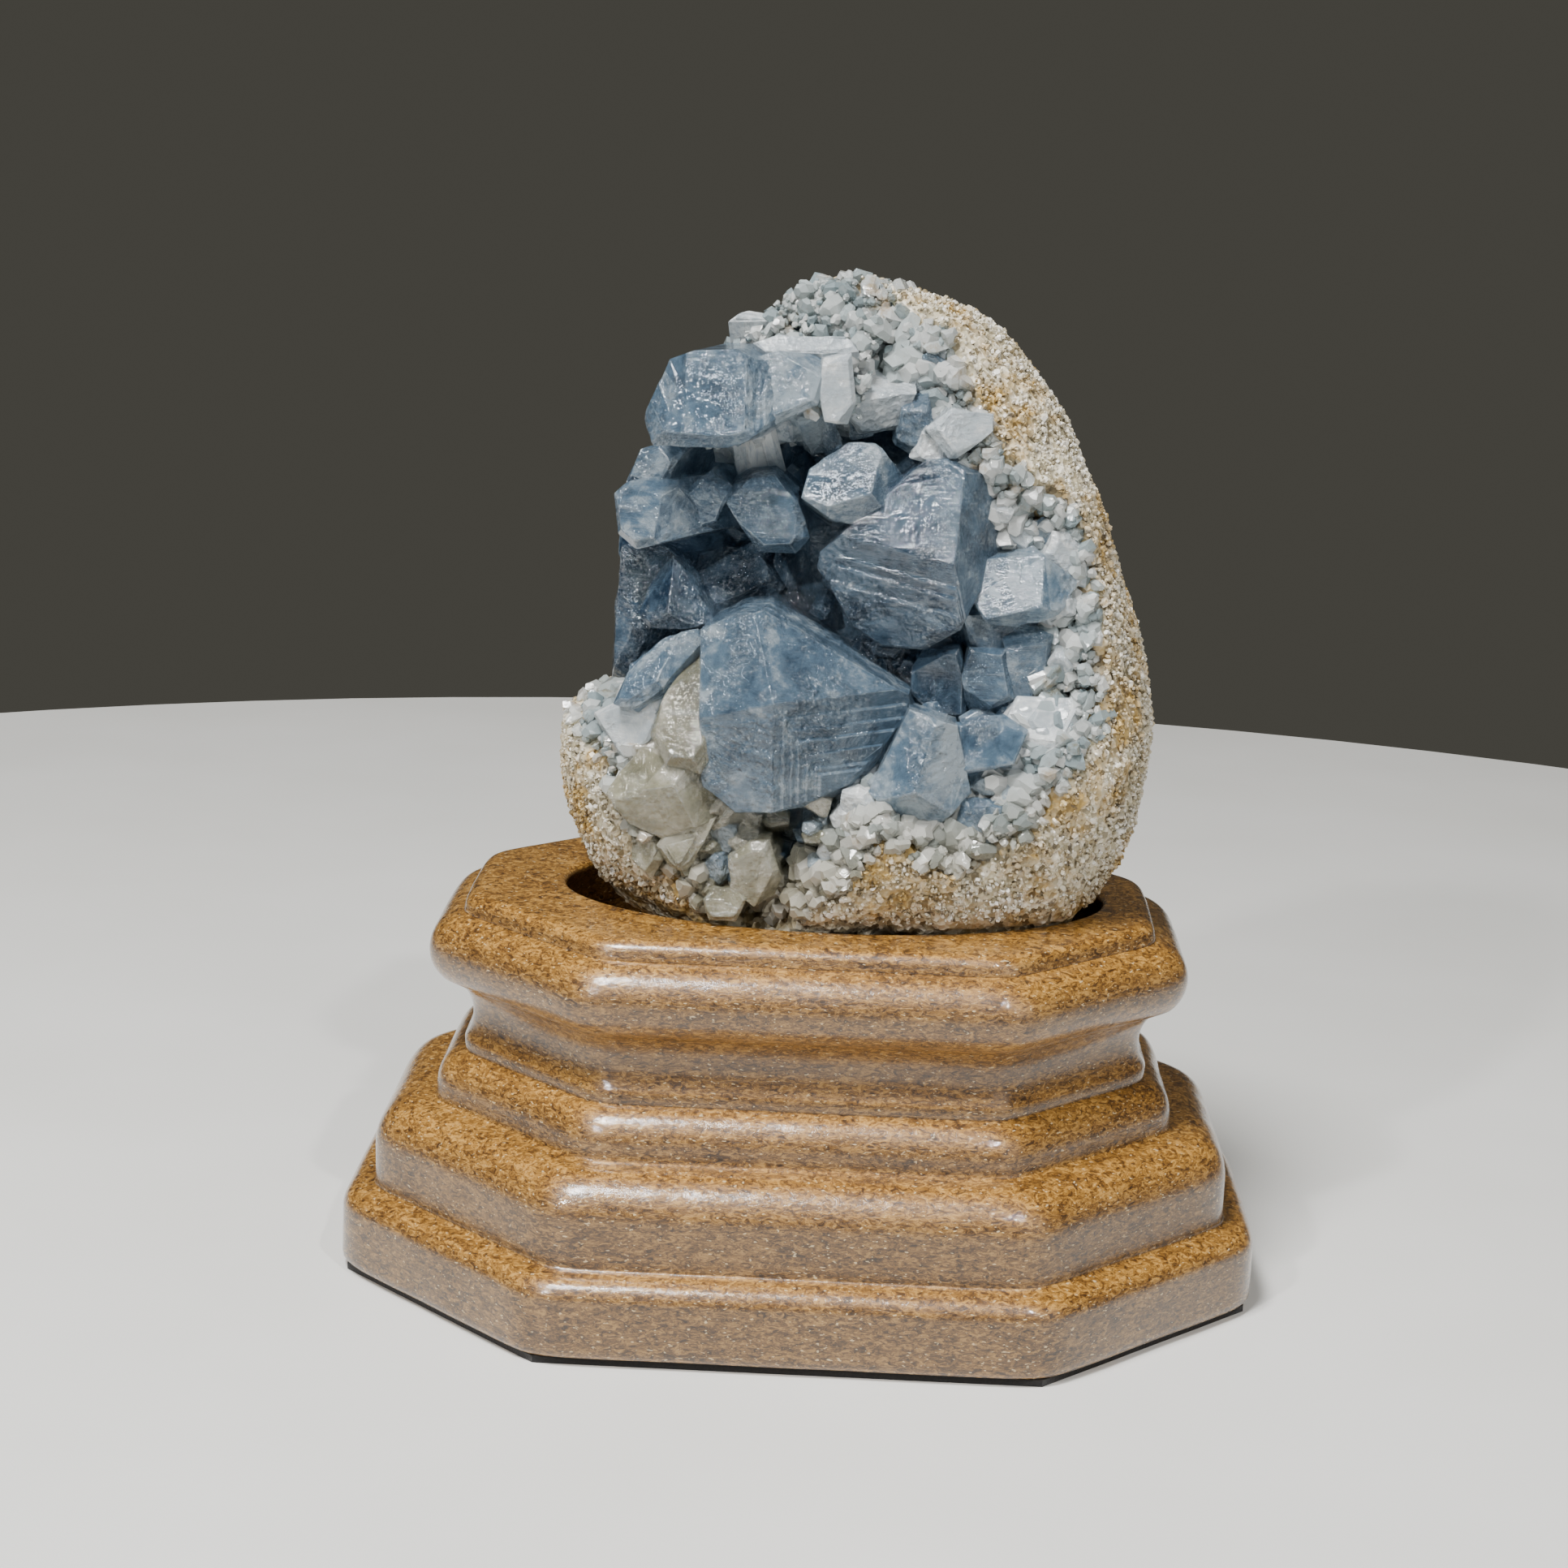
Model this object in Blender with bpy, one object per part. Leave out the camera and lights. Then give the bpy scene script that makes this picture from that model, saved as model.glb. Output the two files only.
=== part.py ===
"""Celestite geode standing in the oval pocket of a routed, varnished MDF base.

Metres, +Z up. The origin is on the surface that the object stands on, at the middle of the
base. The front of the object, where the geode is broken open, faces -Y.
"""
import math
import random

import bmesh
import bpy
from mathutils import Vector
from mathutils.geometry import convex_hull_2d

MM = 0.001
GAP = 0.3 * MM                       # play between pieces that touch

# Base: an octagon 140 x 110 mm, routed in tiers out of three glued 19 mm boards
BASE_WIDTH = 140 * MM
BASE_DEPTH = 110 * MM
CORNER_LEG = 33 * MM                 # what each cut corner takes off the length of a side
BOARD = 19 * MM
BASE_HEIGHT = 3 * BOARD
PAD_THICKNESS = 1.0 * MM
PAD_INSET = 1.5 * MM
WOOD_FOOT = PAD_THICKNESS + GAP
BASE_TOP = WOOD_FOOT + BASE_HEIGHT

# Oval pocket in the top, set a little to the right as the photographed one is
POCKET_WIDTH = 83 * MM
POCKET_DEPTH = 53.5 * MM
POCKET_SINK = 12 * MM
POCKET_X = 3.5 * MM
POCKET_FLOOR = BASE_TOP - POCKET_SINK

# Rind: an egg, wider below, whose wall is broken away in front
EGG_CENTRE = Vector((6.5 * MM, 0.0, 97.3 * MM))
EGG_HALF_WIDTH = 42.8 * MM
EGG_HALF_DEPTH = 30.5 * MM
EGG_ABOVE = 54.7 * MM
EGG_BELOW = 50.9 * MM
EGG_SQUARENESS = 2.3                 # 2 is an ellipse, more is fuller at the shoulders
EGG_TAPER = 0.24                     # how much narrower the top is than the middle
RIND_WALL = 7 * MM
RIND_CLEARANCE = 0.45 * MM           # between the facets of the rind's inner face and the crust
LUMP_HEIGHT = 0.8 * MM
MOUTH_AZIMUTH = -14                  # the opening faces a little left of the front
MOUTH_ELEVATION = 3

# Half-angle of the opening, in degrees, at each angle round it (0 is right, 90 is up)
MOUTH_EDGE = (
    (-180, 112), (-169, 108), (-161, 62), (-150, 54), (-140, 54), (-120, 59), (-100, 64),
    (-84, 53), (-68, 46), (-50, 62), (-25, 68), (-5, 77), (30, 81), (55, 71), (80, 80),
    (105, 90), (130, 104), (160, 112), (180, 112),
)
RIND_COLUMNS = 48                    # facets of the rind: round the opening, and front to back
RIND_OUTER_ROWS = 14
RIND_INNER_ROWS = 10
BED_COLUMNS = 26
BACK_SHARE = 0.97                    # how far the rows run towards the closed back
BOWL_EDGE = 0.76                     # front of the grown-together crystals, as a share of the
BOWL_MIDDLE = 0.42                   # cavity's radius: at the opening's edge and at its middle

# Crystals, in mm from the middle of the egg. A crystal's outline is its corners (x, z) as seen
# from the front, at its depth y, and its axis points along azimuth (0 is to the front, 90 to the
# right) and elevation. Its facets are tip faces as (azimuth, elevation, distance beyond its peak),
# and its peak is a point (x, z) at its depth, by default the middle of the outline.
CRYSTALS = {
    "top_left": dict(
        depth=-24, axis=(-12, 0), peak=(-23, 37), bevel=1.0,
        outline=((-34.5, 34), (-32, 30.5), (-21, 31), (-18, 32), (-14, 35), (-15.5, 43),
                 (-20.5, 45), (-26.5, 44.5), (-30.5, 43)),
        facets=((-8, 12, 0), (-58, 5, 5.5), (-5, -50, 4), (40, 10, 3.4))),
    "great_dark": dict(
        depth=-25, axis=(-8, -6), peak=(12.5, 15.5), bevel=0.5,
        outline=((-8.5, 12.5), (-8, 15), (-1.5, 21.5), (7, 29.5), (10, 30), (15, 27.5),
                 (19, 19.5), (18.5, 17), (13.5, 5.5), (8, 1.5), (1.5, 1), (-3, 3.5)),
        facets=((-14, 26, 0), (-20, -18, 0), (55, 4, 0))),
    "great_pale": dict(
        depth=-34, axis=(-4, 0), peak=(-12.5, -4), bevel=0.8,
        outline=((-24.5, 4.5), (-19, 7.5), (-15, 8), (1, -1.5), (6, -4), (6.5, -7), (2.5, -13.5),
                 (-1, -18), (-6.5, -20), (-18, -21.5), (-23, -18)),
        facets=((-28, 33, 0), (-22, -12, 0), (27, 28, 0), (30, -16, 0))),
    "frosted": dict(
        depth=-21, axis=(0, 12), peak=(-3, 27), bevel=0.8,
        outline=((-10, 24), (-9, 28.5), (-3.5, 32.5), (0.5, 32.5), (5, 28), (4.5, 25), (0, 23),
                 (-2.5, 20.5), (-5.5, 21)),
        facets=((-10, 24, 0), (10, -30, 2.6), (48, 6, 3))),
    "hexagon": dict(
        depth=-18, axis=(0, -10), peak=(-15, 20), bevel=0.6,
        outline=((-21, 22), (-20, 23.5), (-17.5, 25.5), (-14, 26), (-10.5, 23), (-8.5, 17.5),
                 (-10.5, 15), (-16, 15)),
        facets=((-8, 8, 0), (-10, 45, 2.6))),
    "right_middle": dict(
        depth=-21, axis=(12, -4), peak=(24, 11.5), bevel=0.6,
        outline=((15.5, 10), (18, 15.5), (25.5, 17), (29.5, 14), (32, 12.5), (28.5, 8), (22, 6),
                 (18, 6.5)),
        facets=((-12, 20, 0), (40, 15, 1.2), (10, -45, 2.2))),
    "down_pointing": dict(
        depth=-30, axis=(0, 4), peak=(8.5, -13), bevel=0.8,
        outline=((1.5, -17.5), (7, -5), (14, -7), (16.5, -17), (11, -23.5), (6, -21.5)),
        facets=((-25, 12, 0), (25, 0, 0.6), (-5, -40, 3))),
    "left_upper": dict(
        depth=-15, axis=(-25, 0), peak=(-34, 20), bevel=0.8,
        outline=((-39, 22.5), (-36.5, 24.5), (-29, 25), (-24.5, 17.5), (-34.5, 14.5),
                 (-38, 16.5)),
        facets=((-20, 8, 0), (-10, 55, 2.5), (30, 0, 2.5))),
    "left_top": dict(
        depth=-10, axis=(-20, 5), bevel=0.6,
        outline=((-36.5, 25), (-35, 29), (-27, 31), (-29.5, 25), (-31, 23))),
    "left_notch": dict(
        depth=-13, axis=(-8, 0), bevel=0.5,
        outline=((-27.5, 23), (-24, 26.5), (-20.5, 24), (-22.5, 19), (-25, 18))),
    "left_pointed": dict(
        depth=-15, axis=(-15, 8), peak=(-28.5, 9), bevel=0.8,
        outline=((-29, 14), (-26, 10), (-22, 4), (-27, 3), (-32, 3), (-34.5, 5), (-33, 10.5)),
        facets=((-48, 18, 0.6), (22, 20, 0.4))),
    "left_dark": dict(
        depth=-9, axis=(5, 0), peak=(-19, 9), bevel=0.6,
        outline=((-25, 13), (-20.5, 14.5), (-16, 13.5), (-12, 9), (-14, 6), (-21, 4), (-27, 4)),
        facets=((-10, 30, 0), (20, -25, 1))),
    "left_flank": dict(
        depth=-9, axis=(-35, 0), bevel=0.8,
        outline=((-40, -6), (-39.5, 5), (-38.5, 14), (-33, 15), (-28, 12), (-31, 3), (-36, -6)),
        facets=((-40, 5, 0.5), (0, 15, 0.5))),
    "left_edge": dict(
        depth=0, axis=(-40, 0), bevel=0.8,
        outline=((-41, 4), (-40.5, 17), (-38, 25), (-30, 20), (-30, 2))),
    "left_blade": dict(
        depth=-23, axis=(-22, 20), peak=(-31, -1.5), bevel=0.5,
        outline=((-36.5, -7), (-35, -2), (-30.5, 3), (-25, 5), (-24, 3), (-28.5, -5), (-33, -8)),
        facets=((-30, 30, 0), (15, 15, 1.5))),
    "left_glass": dict(
        depth=-27, axis=(-8, 10), bevel=0.6,
        outline=((-29, -5), (-25, 3), (-20, 2), (-21, -12), (-22.5, -16), (-28, -15),
                 (-30.5, -10.5))),
    "shaded_top": dict(
        depth=-9, axis=(0, -8), peak=(-13, 31), bevel=0.6,
        outline=((-20, 29.5), (-14, 35), (-8, 37), (-7, 31), (-10, 26), (-12, 23), (-19, 25)),
        facets=((-15, 12, 0), (30, -15, 0.5))),
    "top_middle": dict(
        depth=-21, axis=(0, 8), bevel=0.5,
        outline=((-17, 44), (-14, 45), (-8, 45), (-7, 43), (-8, 37.5), (-11.5, 36.5),
                 (-15, 34))),
    "top_ridge": dict(
        depth=-16, axis=(0, 50), bevel=0.5,
        outline=((-18, 46), (-15, 48.5), (-3.5, 48.5), (-2.5, 44.5), (-8, 43.5), (-16, 43.5))),
    "top_bump": dict(
        depth=-5, axis=(-10, 60), bevel=0.5,
        outline=((-22, 46.5), (-21, 50), (-19.5, 52), (-17, 50.5), (-16, 46))),
    "top_shard": dict(
        depth=-21, axis=(5, 0), bevel=0.5,
        outline=((-7.5, 44), (-3.5, 45), (-2.5, 38), (-3.5, 34.5), (-7, 35), (-8, 39))),
    "right_top_c": dict(
        depth=-15, axis=(0, -25), bevel=0.5,
        outline=((-5.5, 37), (-2, 39.5), (6, 39.5), (5, 35), (3.5, 32), (-2, 32))),
    "right_top_d": dict(
        depth=-17, axis=(5, -10), bevel=0.5,
        outline=((4, 37), (8, 38.5), (9, 34), (6.5, 29), (3.5, 31))),
    "right_back": dict(
        depth=-14, axis=(10, 5), bevel=0.8,
        outline=((6, 33), (10, 39), (15, 34), (20.5, 24), (19.5, 17), (12, 22))),
    "dark_small": dict(
        depth=-18, axis=(-8, -4), bevel=0.5,
        outline=((7, -1), (8.5, 1.5), (14, 2.5), (15.5, -1.5), (15.5, -8), (10.5, -8),
                 (7, -5))),
    "clear_small": dict(
        depth=-20, axis=(5, 5), bevel=0.6,
        outline=((14.5, -1.5), (15.5, 3), (21, 3), (22.5, -4.5), (18, -6.5), (16, -7.5))),
    "right_tall": dict(
        depth=-19, axis=(14, 0), bevel=0.6,
        outline=((20.5, 5.5), (24, 6.5), (28, 5), (27.5, -1), (24.5, -5.5), (21.5, -5.5))),
    "right_under": dict(
        depth=-16, axis=(20, -10), bevel=0.6,
        outline=((13, 8), (20, 7), (29, 8), (32, 4), (27, 0), (16, 1))),
    "striped": dict(
        depth=-26, axis=(2, 18), bevel=0.5,
        outline=((13.5, -7), (21, -5), (24.5, -7.5), (22.5, -13), (17, -14), (14.5, -15))),
    "low_blue": dict(
        depth=-22, axis=(0, -5), bevel=0.5,
        outline=((-4, -21), (1.5, -18.5), (4, -23), (0, -27))),
    "low_dark": dict(
        depth=-17, axis=(0, -12), bevel=0.6,
        outline=((-13, -22), (-4, -21), (-3, -30), (-8, -34), (-13, -31))),
    "right_low_a": dict(
        depth=-27, axis=(6, 4), bevel=0.6,
        outline=((14.5, -22), (15.5, -18), (22, -18.5), (22, -24), (19, -27.5), (15.5, -27))),
    "right_low_c": dict(
        depth=-25, axis=(4, 4), bevel=0.4,
        outline=((10.5, -24.5), (15, -24), (16, -28), (12.5, -29.5), (10, -28))),
    "white_wedge": dict(
        depth=-24, axis=(18, 6), peak=(27, -9), bevel=0.7,
        outline=((20, -9.5), (24.5, -3.5), (34.5, -3.5), (35, -5.5), (31, -9), (28, -14),
                 (27.5, -17), (21, -17), (19.5, -13.5)),
        facets=((-5, 42, 0), (-8, -8, 0.4), (52, 5, 2))),
    "left_ledge": dict(
        depth=-21, axis=(-22, 12), bevel=0.6,
        outline=((-41, -9), (-36, -6.5), (-29, -5), (-28, -9.5), (-30.5, -13), (-37.5, -17),
                 (-41, -15))),
    "straw_coloured": dict(
        depth=-27, axis=(-15, 4), peak=(-29.5, -19), bevel=0.6,
        outline=((-37.5, -20), (-36, -17), (-33, -13), (-26.5, -13.5), (-21, -15.5),
                 (-19.5, -22.5), (-29, -26.5), (-34, -24.5)),
        facets=((-22, 30, 0), (-10, -22, 0.4), (38, 2, 3))),
    "low_straw": dict(
        depth=-24, axis=(0, 2), bevel=0.5,
        outline=((-7, -23), (-4, -21.5), (-0.5, -24.5), (-1.5, -29.5), (-5, -28.5))),
    "low_a": dict(
        depth=-25, axis=(-10, -6), bevel=0.5,
        outline=((-29.5, -28), (-28, -25.5), (-20.5, -23), (-23, -28.5), (-25, -32),
                 (-27.5, -31))),
    "low_b": dict(
        depth=-27, axis=(0, 0), bevel=0.6,
        outline=((-18.5, -29), (-15.5, -26), (-12.5, -25.5), (-10.5, -31.5), (-11.5, -34.5),
                 (-14.5, -36), (-18, -33.5))),
    "low_c": dict(
        depth=-22, axis=(0, -5), bevel=0.5,
        outline=((-24, -26), (-17, -25), (-15, -31), (-20, -35), (-25, -32))),
    "low_d": dict(
        depth=-27, axis=(0, 10), bevel=0.4,
        outline=((-22, -35), (-20.5, -33), (-18, -33), (-15.5, -34.5), (-17, -38),
                 (-21, -38))),
    "low_e": dict(
        depth=-23, axis=(-15, 0), bevel=0.6,
        outline=((-36, -25), (-30, -25), (-28, -30), (-31, -35), (-36, -32))),
    "right_top_a": dict(
        depth=-20, axis=(6, 4), bevel=0.6,
        outline=((7.5, 34.5), (11, 37.5), (17.5, 37), (17.5, 34.5), (12.5, 30.5), (11, 30.5))),
    "right_top_b": dict(
        depth=-19, axis=(0, 0), bevel=0.5,
        outline=((5.5, 30), (7.5, 35), (11.5, 31), (10.5, 29))),
    "white_a": dict(
        depth=-14, axis=(10, 20), bevel=0.5,
        outline=((15, 26), (16, 30), (19.5, 31), (19.5, 26))),
    "white_b": dict(
        depth=-14, axis=(15, 10), bevel=0.5,
        outline=((18, 25), (21, 29.5), (24.5, 26.5), (22, 21.5))),
    "white_c": dict(
        depth=-15, axis=(15, 10), bevel=0.5,
        outline=((19, 16.5), (21, 21), (25.5, 21.5), (25.5, 19), (22.5, 16))),
    "white_d": dict(
        depth=-16, axis=(20, 5), bevel=0.6,
        outline=((25.5, 16.5), (27, 20), (31.5, 19.5), (33.5, 11.5), (29.5, 12.5))),
    "right_low_b": dict(
        depth=-25, axis=(12, 12), bevel=0.5,
        outline=((22, -28), (25, -21.5), (27.5, -23), (27, -27), (24, -30.5))),
}
ROOT_DEPTH = 12                      # how far back, in mm, the roots of the crystals reach

# Nameless crystals, seeded: between the others over the opening, and along its edge
BETWEEN_COUNT = 44
BETWEEN_SIZE = (5.5, 9.0)
EDGE_COUNT = 30
EDGE_SIZE = (3.5, 6.0)
EDGE_FRONT = 95                      # half-angle past which the edge faces back and has none
SMALL_LENGTH = 16
SEED = 11


def remove_everything():
    """Start from an empty scene."""
    for thing in list(bpy.data.objects):
        bpy.data.objects.remove(thing, do_unlink=True)


def srgb(code):
    """Turn a hex colour into the linear RGBA that a shader takes."""
    channels = [int(code[i:i + 2], 16) / 255 for i in (1, 3, 5)]
    linear = [c / 12.92 if c <= 0.04045 else ((c + 0.055) / 1.055) ** 2.4 for c in channels]
    return (*linear, 1.0)


def material(name, colour, roughness, transmission=0.0, ior=1.5):
    """A plain Principled material."""
    made = bpy.data.materials.new(name)
    made.use_nodes = True
    shader = made.node_tree.nodes["Principled BSDF"]
    shader.inputs["Base Color"].default_value = srgb(colour)
    shader.inputs["Roughness"].default_value = roughness
    shader.inputs["Metallic"].default_value = 0.0
    shader.inputs["Transmission Weight"].default_value = transmission
    shader.inputs["IOR"].default_value = ior
    return made


def new_object(name, mesh, finish=None):
    """Put a mesh in the scene under a name."""
    thing = bpy.data.objects.new(name, mesh)
    bpy.context.scene.collection.objects.link(thing)
    if finish is not None:
        mesh.materials.append(finish)
    return thing


def mesh_of(name, points, faces):
    """A mesh from points and faces, with its normals outward."""
    mesh = bpy.data.meshes.new(name)
    mesh.from_pydata([tuple(p) for p in points], [], faces)
    sheet = bmesh.new()
    sheet.from_mesh(mesh)
    bmesh.ops.recalc_face_normals(sheet, faces=sheet.faces)
    sheet.to_mesh(mesh)
    sheet.free()
    return mesh


def boolean(target, operation, cutter=None, group=None):
    """Add an exact Boolean of a target with one object or with a collection."""
    step = target.modifiers.new(operation.title(), "BOOLEAN")
    step.operation = operation
    step.solver = "EXACT"
    if group is None:
        step.object = cutter
    else:
        step.operand_type = "COLLECTION"
        step.collection = group


def hide_cutter(thing):
    """Mark an object as a cutter, which isn't part of the model."""
    thing.hide_render = True
    thing.display_type = "WIRE"


# Base

def octagon(inset):
    """The eight corners of the base's outline, moved in by an inset, from the front right on."""
    half_width = BASE_WIDTH / 2 - inset
    half_depth = BASE_DEPTH / 2 - inset
    leg = CORNER_LEG - inset * (2 - math.sqrt(2))
    short_x = half_width - leg
    short_y = half_depth - leg
    return [(short_x, -half_depth), (half_width, -short_y), (half_width, short_y),
            (short_x, half_depth), (-short_x, half_depth), (-half_width, short_y),
            (-half_width, -short_y), (-short_x, -half_depth)]


def curve(centre, radii, start, end, steps):
    """Points of an elliptic arc in (inset, height), angles in degrees, 0 is inward, 90 is up."""
    points = []
    for i in range(steps + 1):
        angle = math.radians(start + (end - start) * i / steps)
        points.append((centre[0] + radii[0] * math.cos(angle),
                       centre[1] + radii[1] * math.sin(angle)))
    return points


def base_profile():
    """The routed side of the base from foot to top, as (inset, height above the foot) in mm."""
    profile = [(0.6, 0.0), (0.0, 0.6)]
    profile += curve((3.2, 8.3), (3.2, 3.2), 180, 90, 4)
    profile += [(4.8, 11.6)]
    profile += curve((11.3, 18.5), (6.5, 6.5), 180, 90, 5)
    profile += [(13.5, 25.1)]
    profile += curve((18.6, 27.0), (5.0, 5.4), 180, 100, 4)
    profile += curve((14.6, 38.0), (4.2, 5.6), -45, 60, 4)
    profile += curve((18.0, 48.4), (5.8, 5.8), 225, 98, 6)
    profile += [(17.2, 55.0)]
    profile += curve((20.0, 55.0), (2.6, 2.0), 180, 90, 3)[1:]
    return [(inset * MM, WOOD_FOOT + height * MM) for inset, height in profile]


def oval(half_width, half_depth, centre_x, height, count=40):
    """A ring of points on an ellipse."""
    turn = [2 * math.pi * i / count for i in range(count)]
    return [(centre_x + half_width * math.cos(a), half_depth * math.sin(a), height) for a in turn]


def loft(name, rings):
    """Join rings of equal count by quads and close both ends."""
    count = len(rings[0])
    points = [p for ring in rings for p in ring]
    faces = []
    for level in range(len(rings) - 1):
        low = level * count
        high = low + count
        for i in range(count):
            j = (i + 1) % count
            faces.append((low + i, low + j, high + j, high + i))
    faces.append(tuple(reversed(range(count))))
    last = (len(rings) - 1) * count
    faces.append(tuple(last + i for i in range(count)))
    return mesh_of(name, points, faces)


def make_base():
    """The base: its outline lofted up the routed profile, and the oval pocket cut out."""
    rings = [[(x, y, height) for x, y in octagon(inset)] for inset, height in base_profile()]
    varnished = material("varnished_mdf", "#9a7340", 0.25)
    base = new_object("wooden_base", loft("wooden_base", rings), varnished)
    rings = [oval(POCKET_WIDTH / 2, POCKET_DEPTH / 2, POCKET_X, height)
             for height in (POCKET_FLOOR, BASE_TOP + POCKET_SINK)]
    cutter = new_object("pocket_cutter", loft("pocket_cutter", rings))
    hide_cutter(cutter)
    boolean(base, "DIFFERENCE", cutter)


def make_pad():
    """The black pad under the base."""
    rings = [[(x, y, height) for x, y in octagon(PAD_INSET)] for height in (0.0, PAD_THICKNESS)]
    felt = material("black_felt", "#141312", 0.95)
    new_object("felt_pad", loft("felt_pad", rings), felt)


# Geode

def direction(azimuth, elevation):
    """A unit vector from an azimuth (0 to the front, 90 to the right) and an elevation."""
    a = math.radians(azimuth)
    e = math.radians(elevation)
    return Vector((math.sin(a) * math.cos(e), -math.cos(a) * math.cos(e), math.sin(e)))


def across(azimuth, elevation):
    """The axes of the opening: right, up, and the way it faces."""
    ahead = direction(azimuth, elevation)
    right = direction(azimuth + 90, 0)
    return right, ahead.cross(right), ahead


def egg_radius(ray):
    """Distance from the egg's middle to its outer face along a ray.

    A super-ellipsoid, narrowed towards the top, with slow sine lumps and a fuller lower left.
    """
    narrow = 1 - EGG_TAPER * ray.z
    tall = EGG_ABOVE if ray.z > 0 else EGG_BELOW
    total = (abs(ray.x / (EGG_HALF_WIDTH * narrow)) ** EGG_SQUARENESS
             + abs(ray.y / (EGG_HALF_DEPTH * narrow)) ** EGG_SQUARENESS
             + abs(ray.z / tall) ** EGG_SQUARENESS)
    radius = total ** (-1 / EGG_SQUARENESS)
    full_side = Vector((-0.8, 0.0, -0.6))
    radius += 2.5 * MM * math.exp(-(1 - ray.dot(full_side)) / 0.1)
    lumps = (math.sin(7 * ray.x + 3 * ray.z) * math.sin(6 * ray.y - 4 * ray.z)
             + 0.6 * math.sin(11 * ray.z + 9 * ray.y) * math.sin(13 * ray.x))
    return radius + LUMP_HEIGHT * lumps


def mouth_edge(turn):
    """Half-angle of the opening at an angle round it, in radians, eased between the listed ones."""
    turn = math.degrees(turn)
    for (a, left), (b, right) in zip(MOUTH_EDGE, MOUTH_EDGE[1:]):
        if a <= turn <= b:
            share = (turn - a) / (b - a)
            eased = share * share * (3 - 2 * share)
            return math.radians(left + (right - left) * eased)
    return math.radians(MOUTH_EDGE[0][1])


def ray_at(tilt, turn):
    """The ray at an angle from the opening's axis and an angle round it."""
    right, up, ahead = across(MOUTH_AZIMUTH, MOUTH_ELEVATION)
    side = right * math.cos(turn) + up * math.sin(turn)
    return (ahead * math.cos(tilt) + side * math.sin(tilt)).normalized()


def polar_solid(name, rings, columns):
    """A closed solid round the opening's axis.

    Each ring gives, for an angle round the axis, the tilt and the radius of its point. The first
    and the last ring are closed by fans to the middle of their own points.
    """
    points = []
    for ring in rings:
        for i in range(columns):
            turn = -math.pi + 2 * math.pi * i / columns
            tilt, radius = ring(turn)
            points.append(EGG_CENTRE + ray_at(tilt, turn) * radius(ray_at(tilt, turn)))
    faces = []
    for level in range(len(rings) - 1):
        low = level * columns
        high = low + columns
        for i in range(columns):
            j = (i + 1) % columns
            faces.append((low + i, low + j, high + j))
            faces.append((low + i, high + j, high + i))
    for first in (0, (len(rings) - 1) * columns):
        ring_points = points[first:first + columns]
        middle = len(points)
        points.append(sum(ring_points, Vector()) / columns)
        for i in range(columns):
            faces.append((first + i, first + (i + 1) % columns, middle))
    return mesh_of(name, points, faces)


def share_to_back(turn, share):
    """A tilt between the opening's edge (share 0) and the back of the egg (share 1)."""
    edge = mouth_edge(turn)
    return edge + (math.pi - edge) * share


def cup(name, outer, inner, outer_rows, inner_rows, columns):
    """A cup-shaped wall between two radius functions, open towards the mouth."""
    rings = []
    for i in range(outer_rows):
        share = BACK_SHARE * (1 - i / (outer_rows - 1))
        rings.append(lambda turn, s=share: (share_to_back(turn, s), outer))
    for i in range(inner_rows):
        share = BACK_SHARE * i / (inner_rows - 1)
        rings.append(lambda turn, s=share: (share_to_back(turn, s), inner))
    return polar_solid(name, rings, columns)


def cavity_radius(ray):
    """Distance to the inner face of the rind."""
    return egg_radius(ray) - RIND_WALL


def standing_room():
    """What the geode may fill: the pocket up to the top of the base, and the space above it."""
    wide = 90 * MM
    high = 180 * MM
    half_width = POCKET_WIDTH / 2 - GAP
    half_depth = POCKET_DEPTH / 2 - GAP
    rings = [
        oval(half_width, half_depth, POCKET_X, POCKET_FLOOR + GAP),
        oval(half_width, half_depth, POCKET_X, BASE_TOP + GAP),
        oval(wide, wide, POCKET_X, BASE_TOP + GAP),
        oval(wide, wide, POCKET_X, high),
    ]
    room = new_object("standing_room", loft("standing_room", rings))
    hide_cutter(room)
    return room


def make_rind(room):
    """The rind: a lumpy cup of stone, trimmed to stand in the pocket."""
    stone = material("weathered_rind", "#cbbf9f", 0.9)
    mesh = cup("geode_rind", egg_radius, cavity_radius, RIND_OUTER_ROWS, RIND_INNER_ROWS,
               RIND_COLUMNS)
    rind = new_object("geode_rind", mesh, stone)
    boolean(rind, "INTERSECT", room)


def cleave(faces, size):
    """A block of a size cleaved along faces, each a unit normal and a distance from the middle."""
    block = bmesh.new()
    bmesh.ops.create_cube(block, size=size)
    for normal, distance in faces:
        parts = block.verts[:] + block.edges[:] + block.faces[:]
        cut = bmesh.ops.bisect_plane(block, geom=parts, dist=1e-7, plane_co=normal * distance,
                                     plane_no=normal, clear_outer=True)
        rim = [e for e in cut["geom_cut"] if isinstance(e, bmesh.types.BMEdge)]
        if rim:
            bmesh.ops.contextual_create(block, geom=rim)
    return block


def outline_hull(outline):
    """The corners of an outline that its convex hull keeps, in order."""
    corners = [Vector(corner) for corner in outline]
    return [corners[i] for i in convex_hull_2d(corners)]


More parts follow.
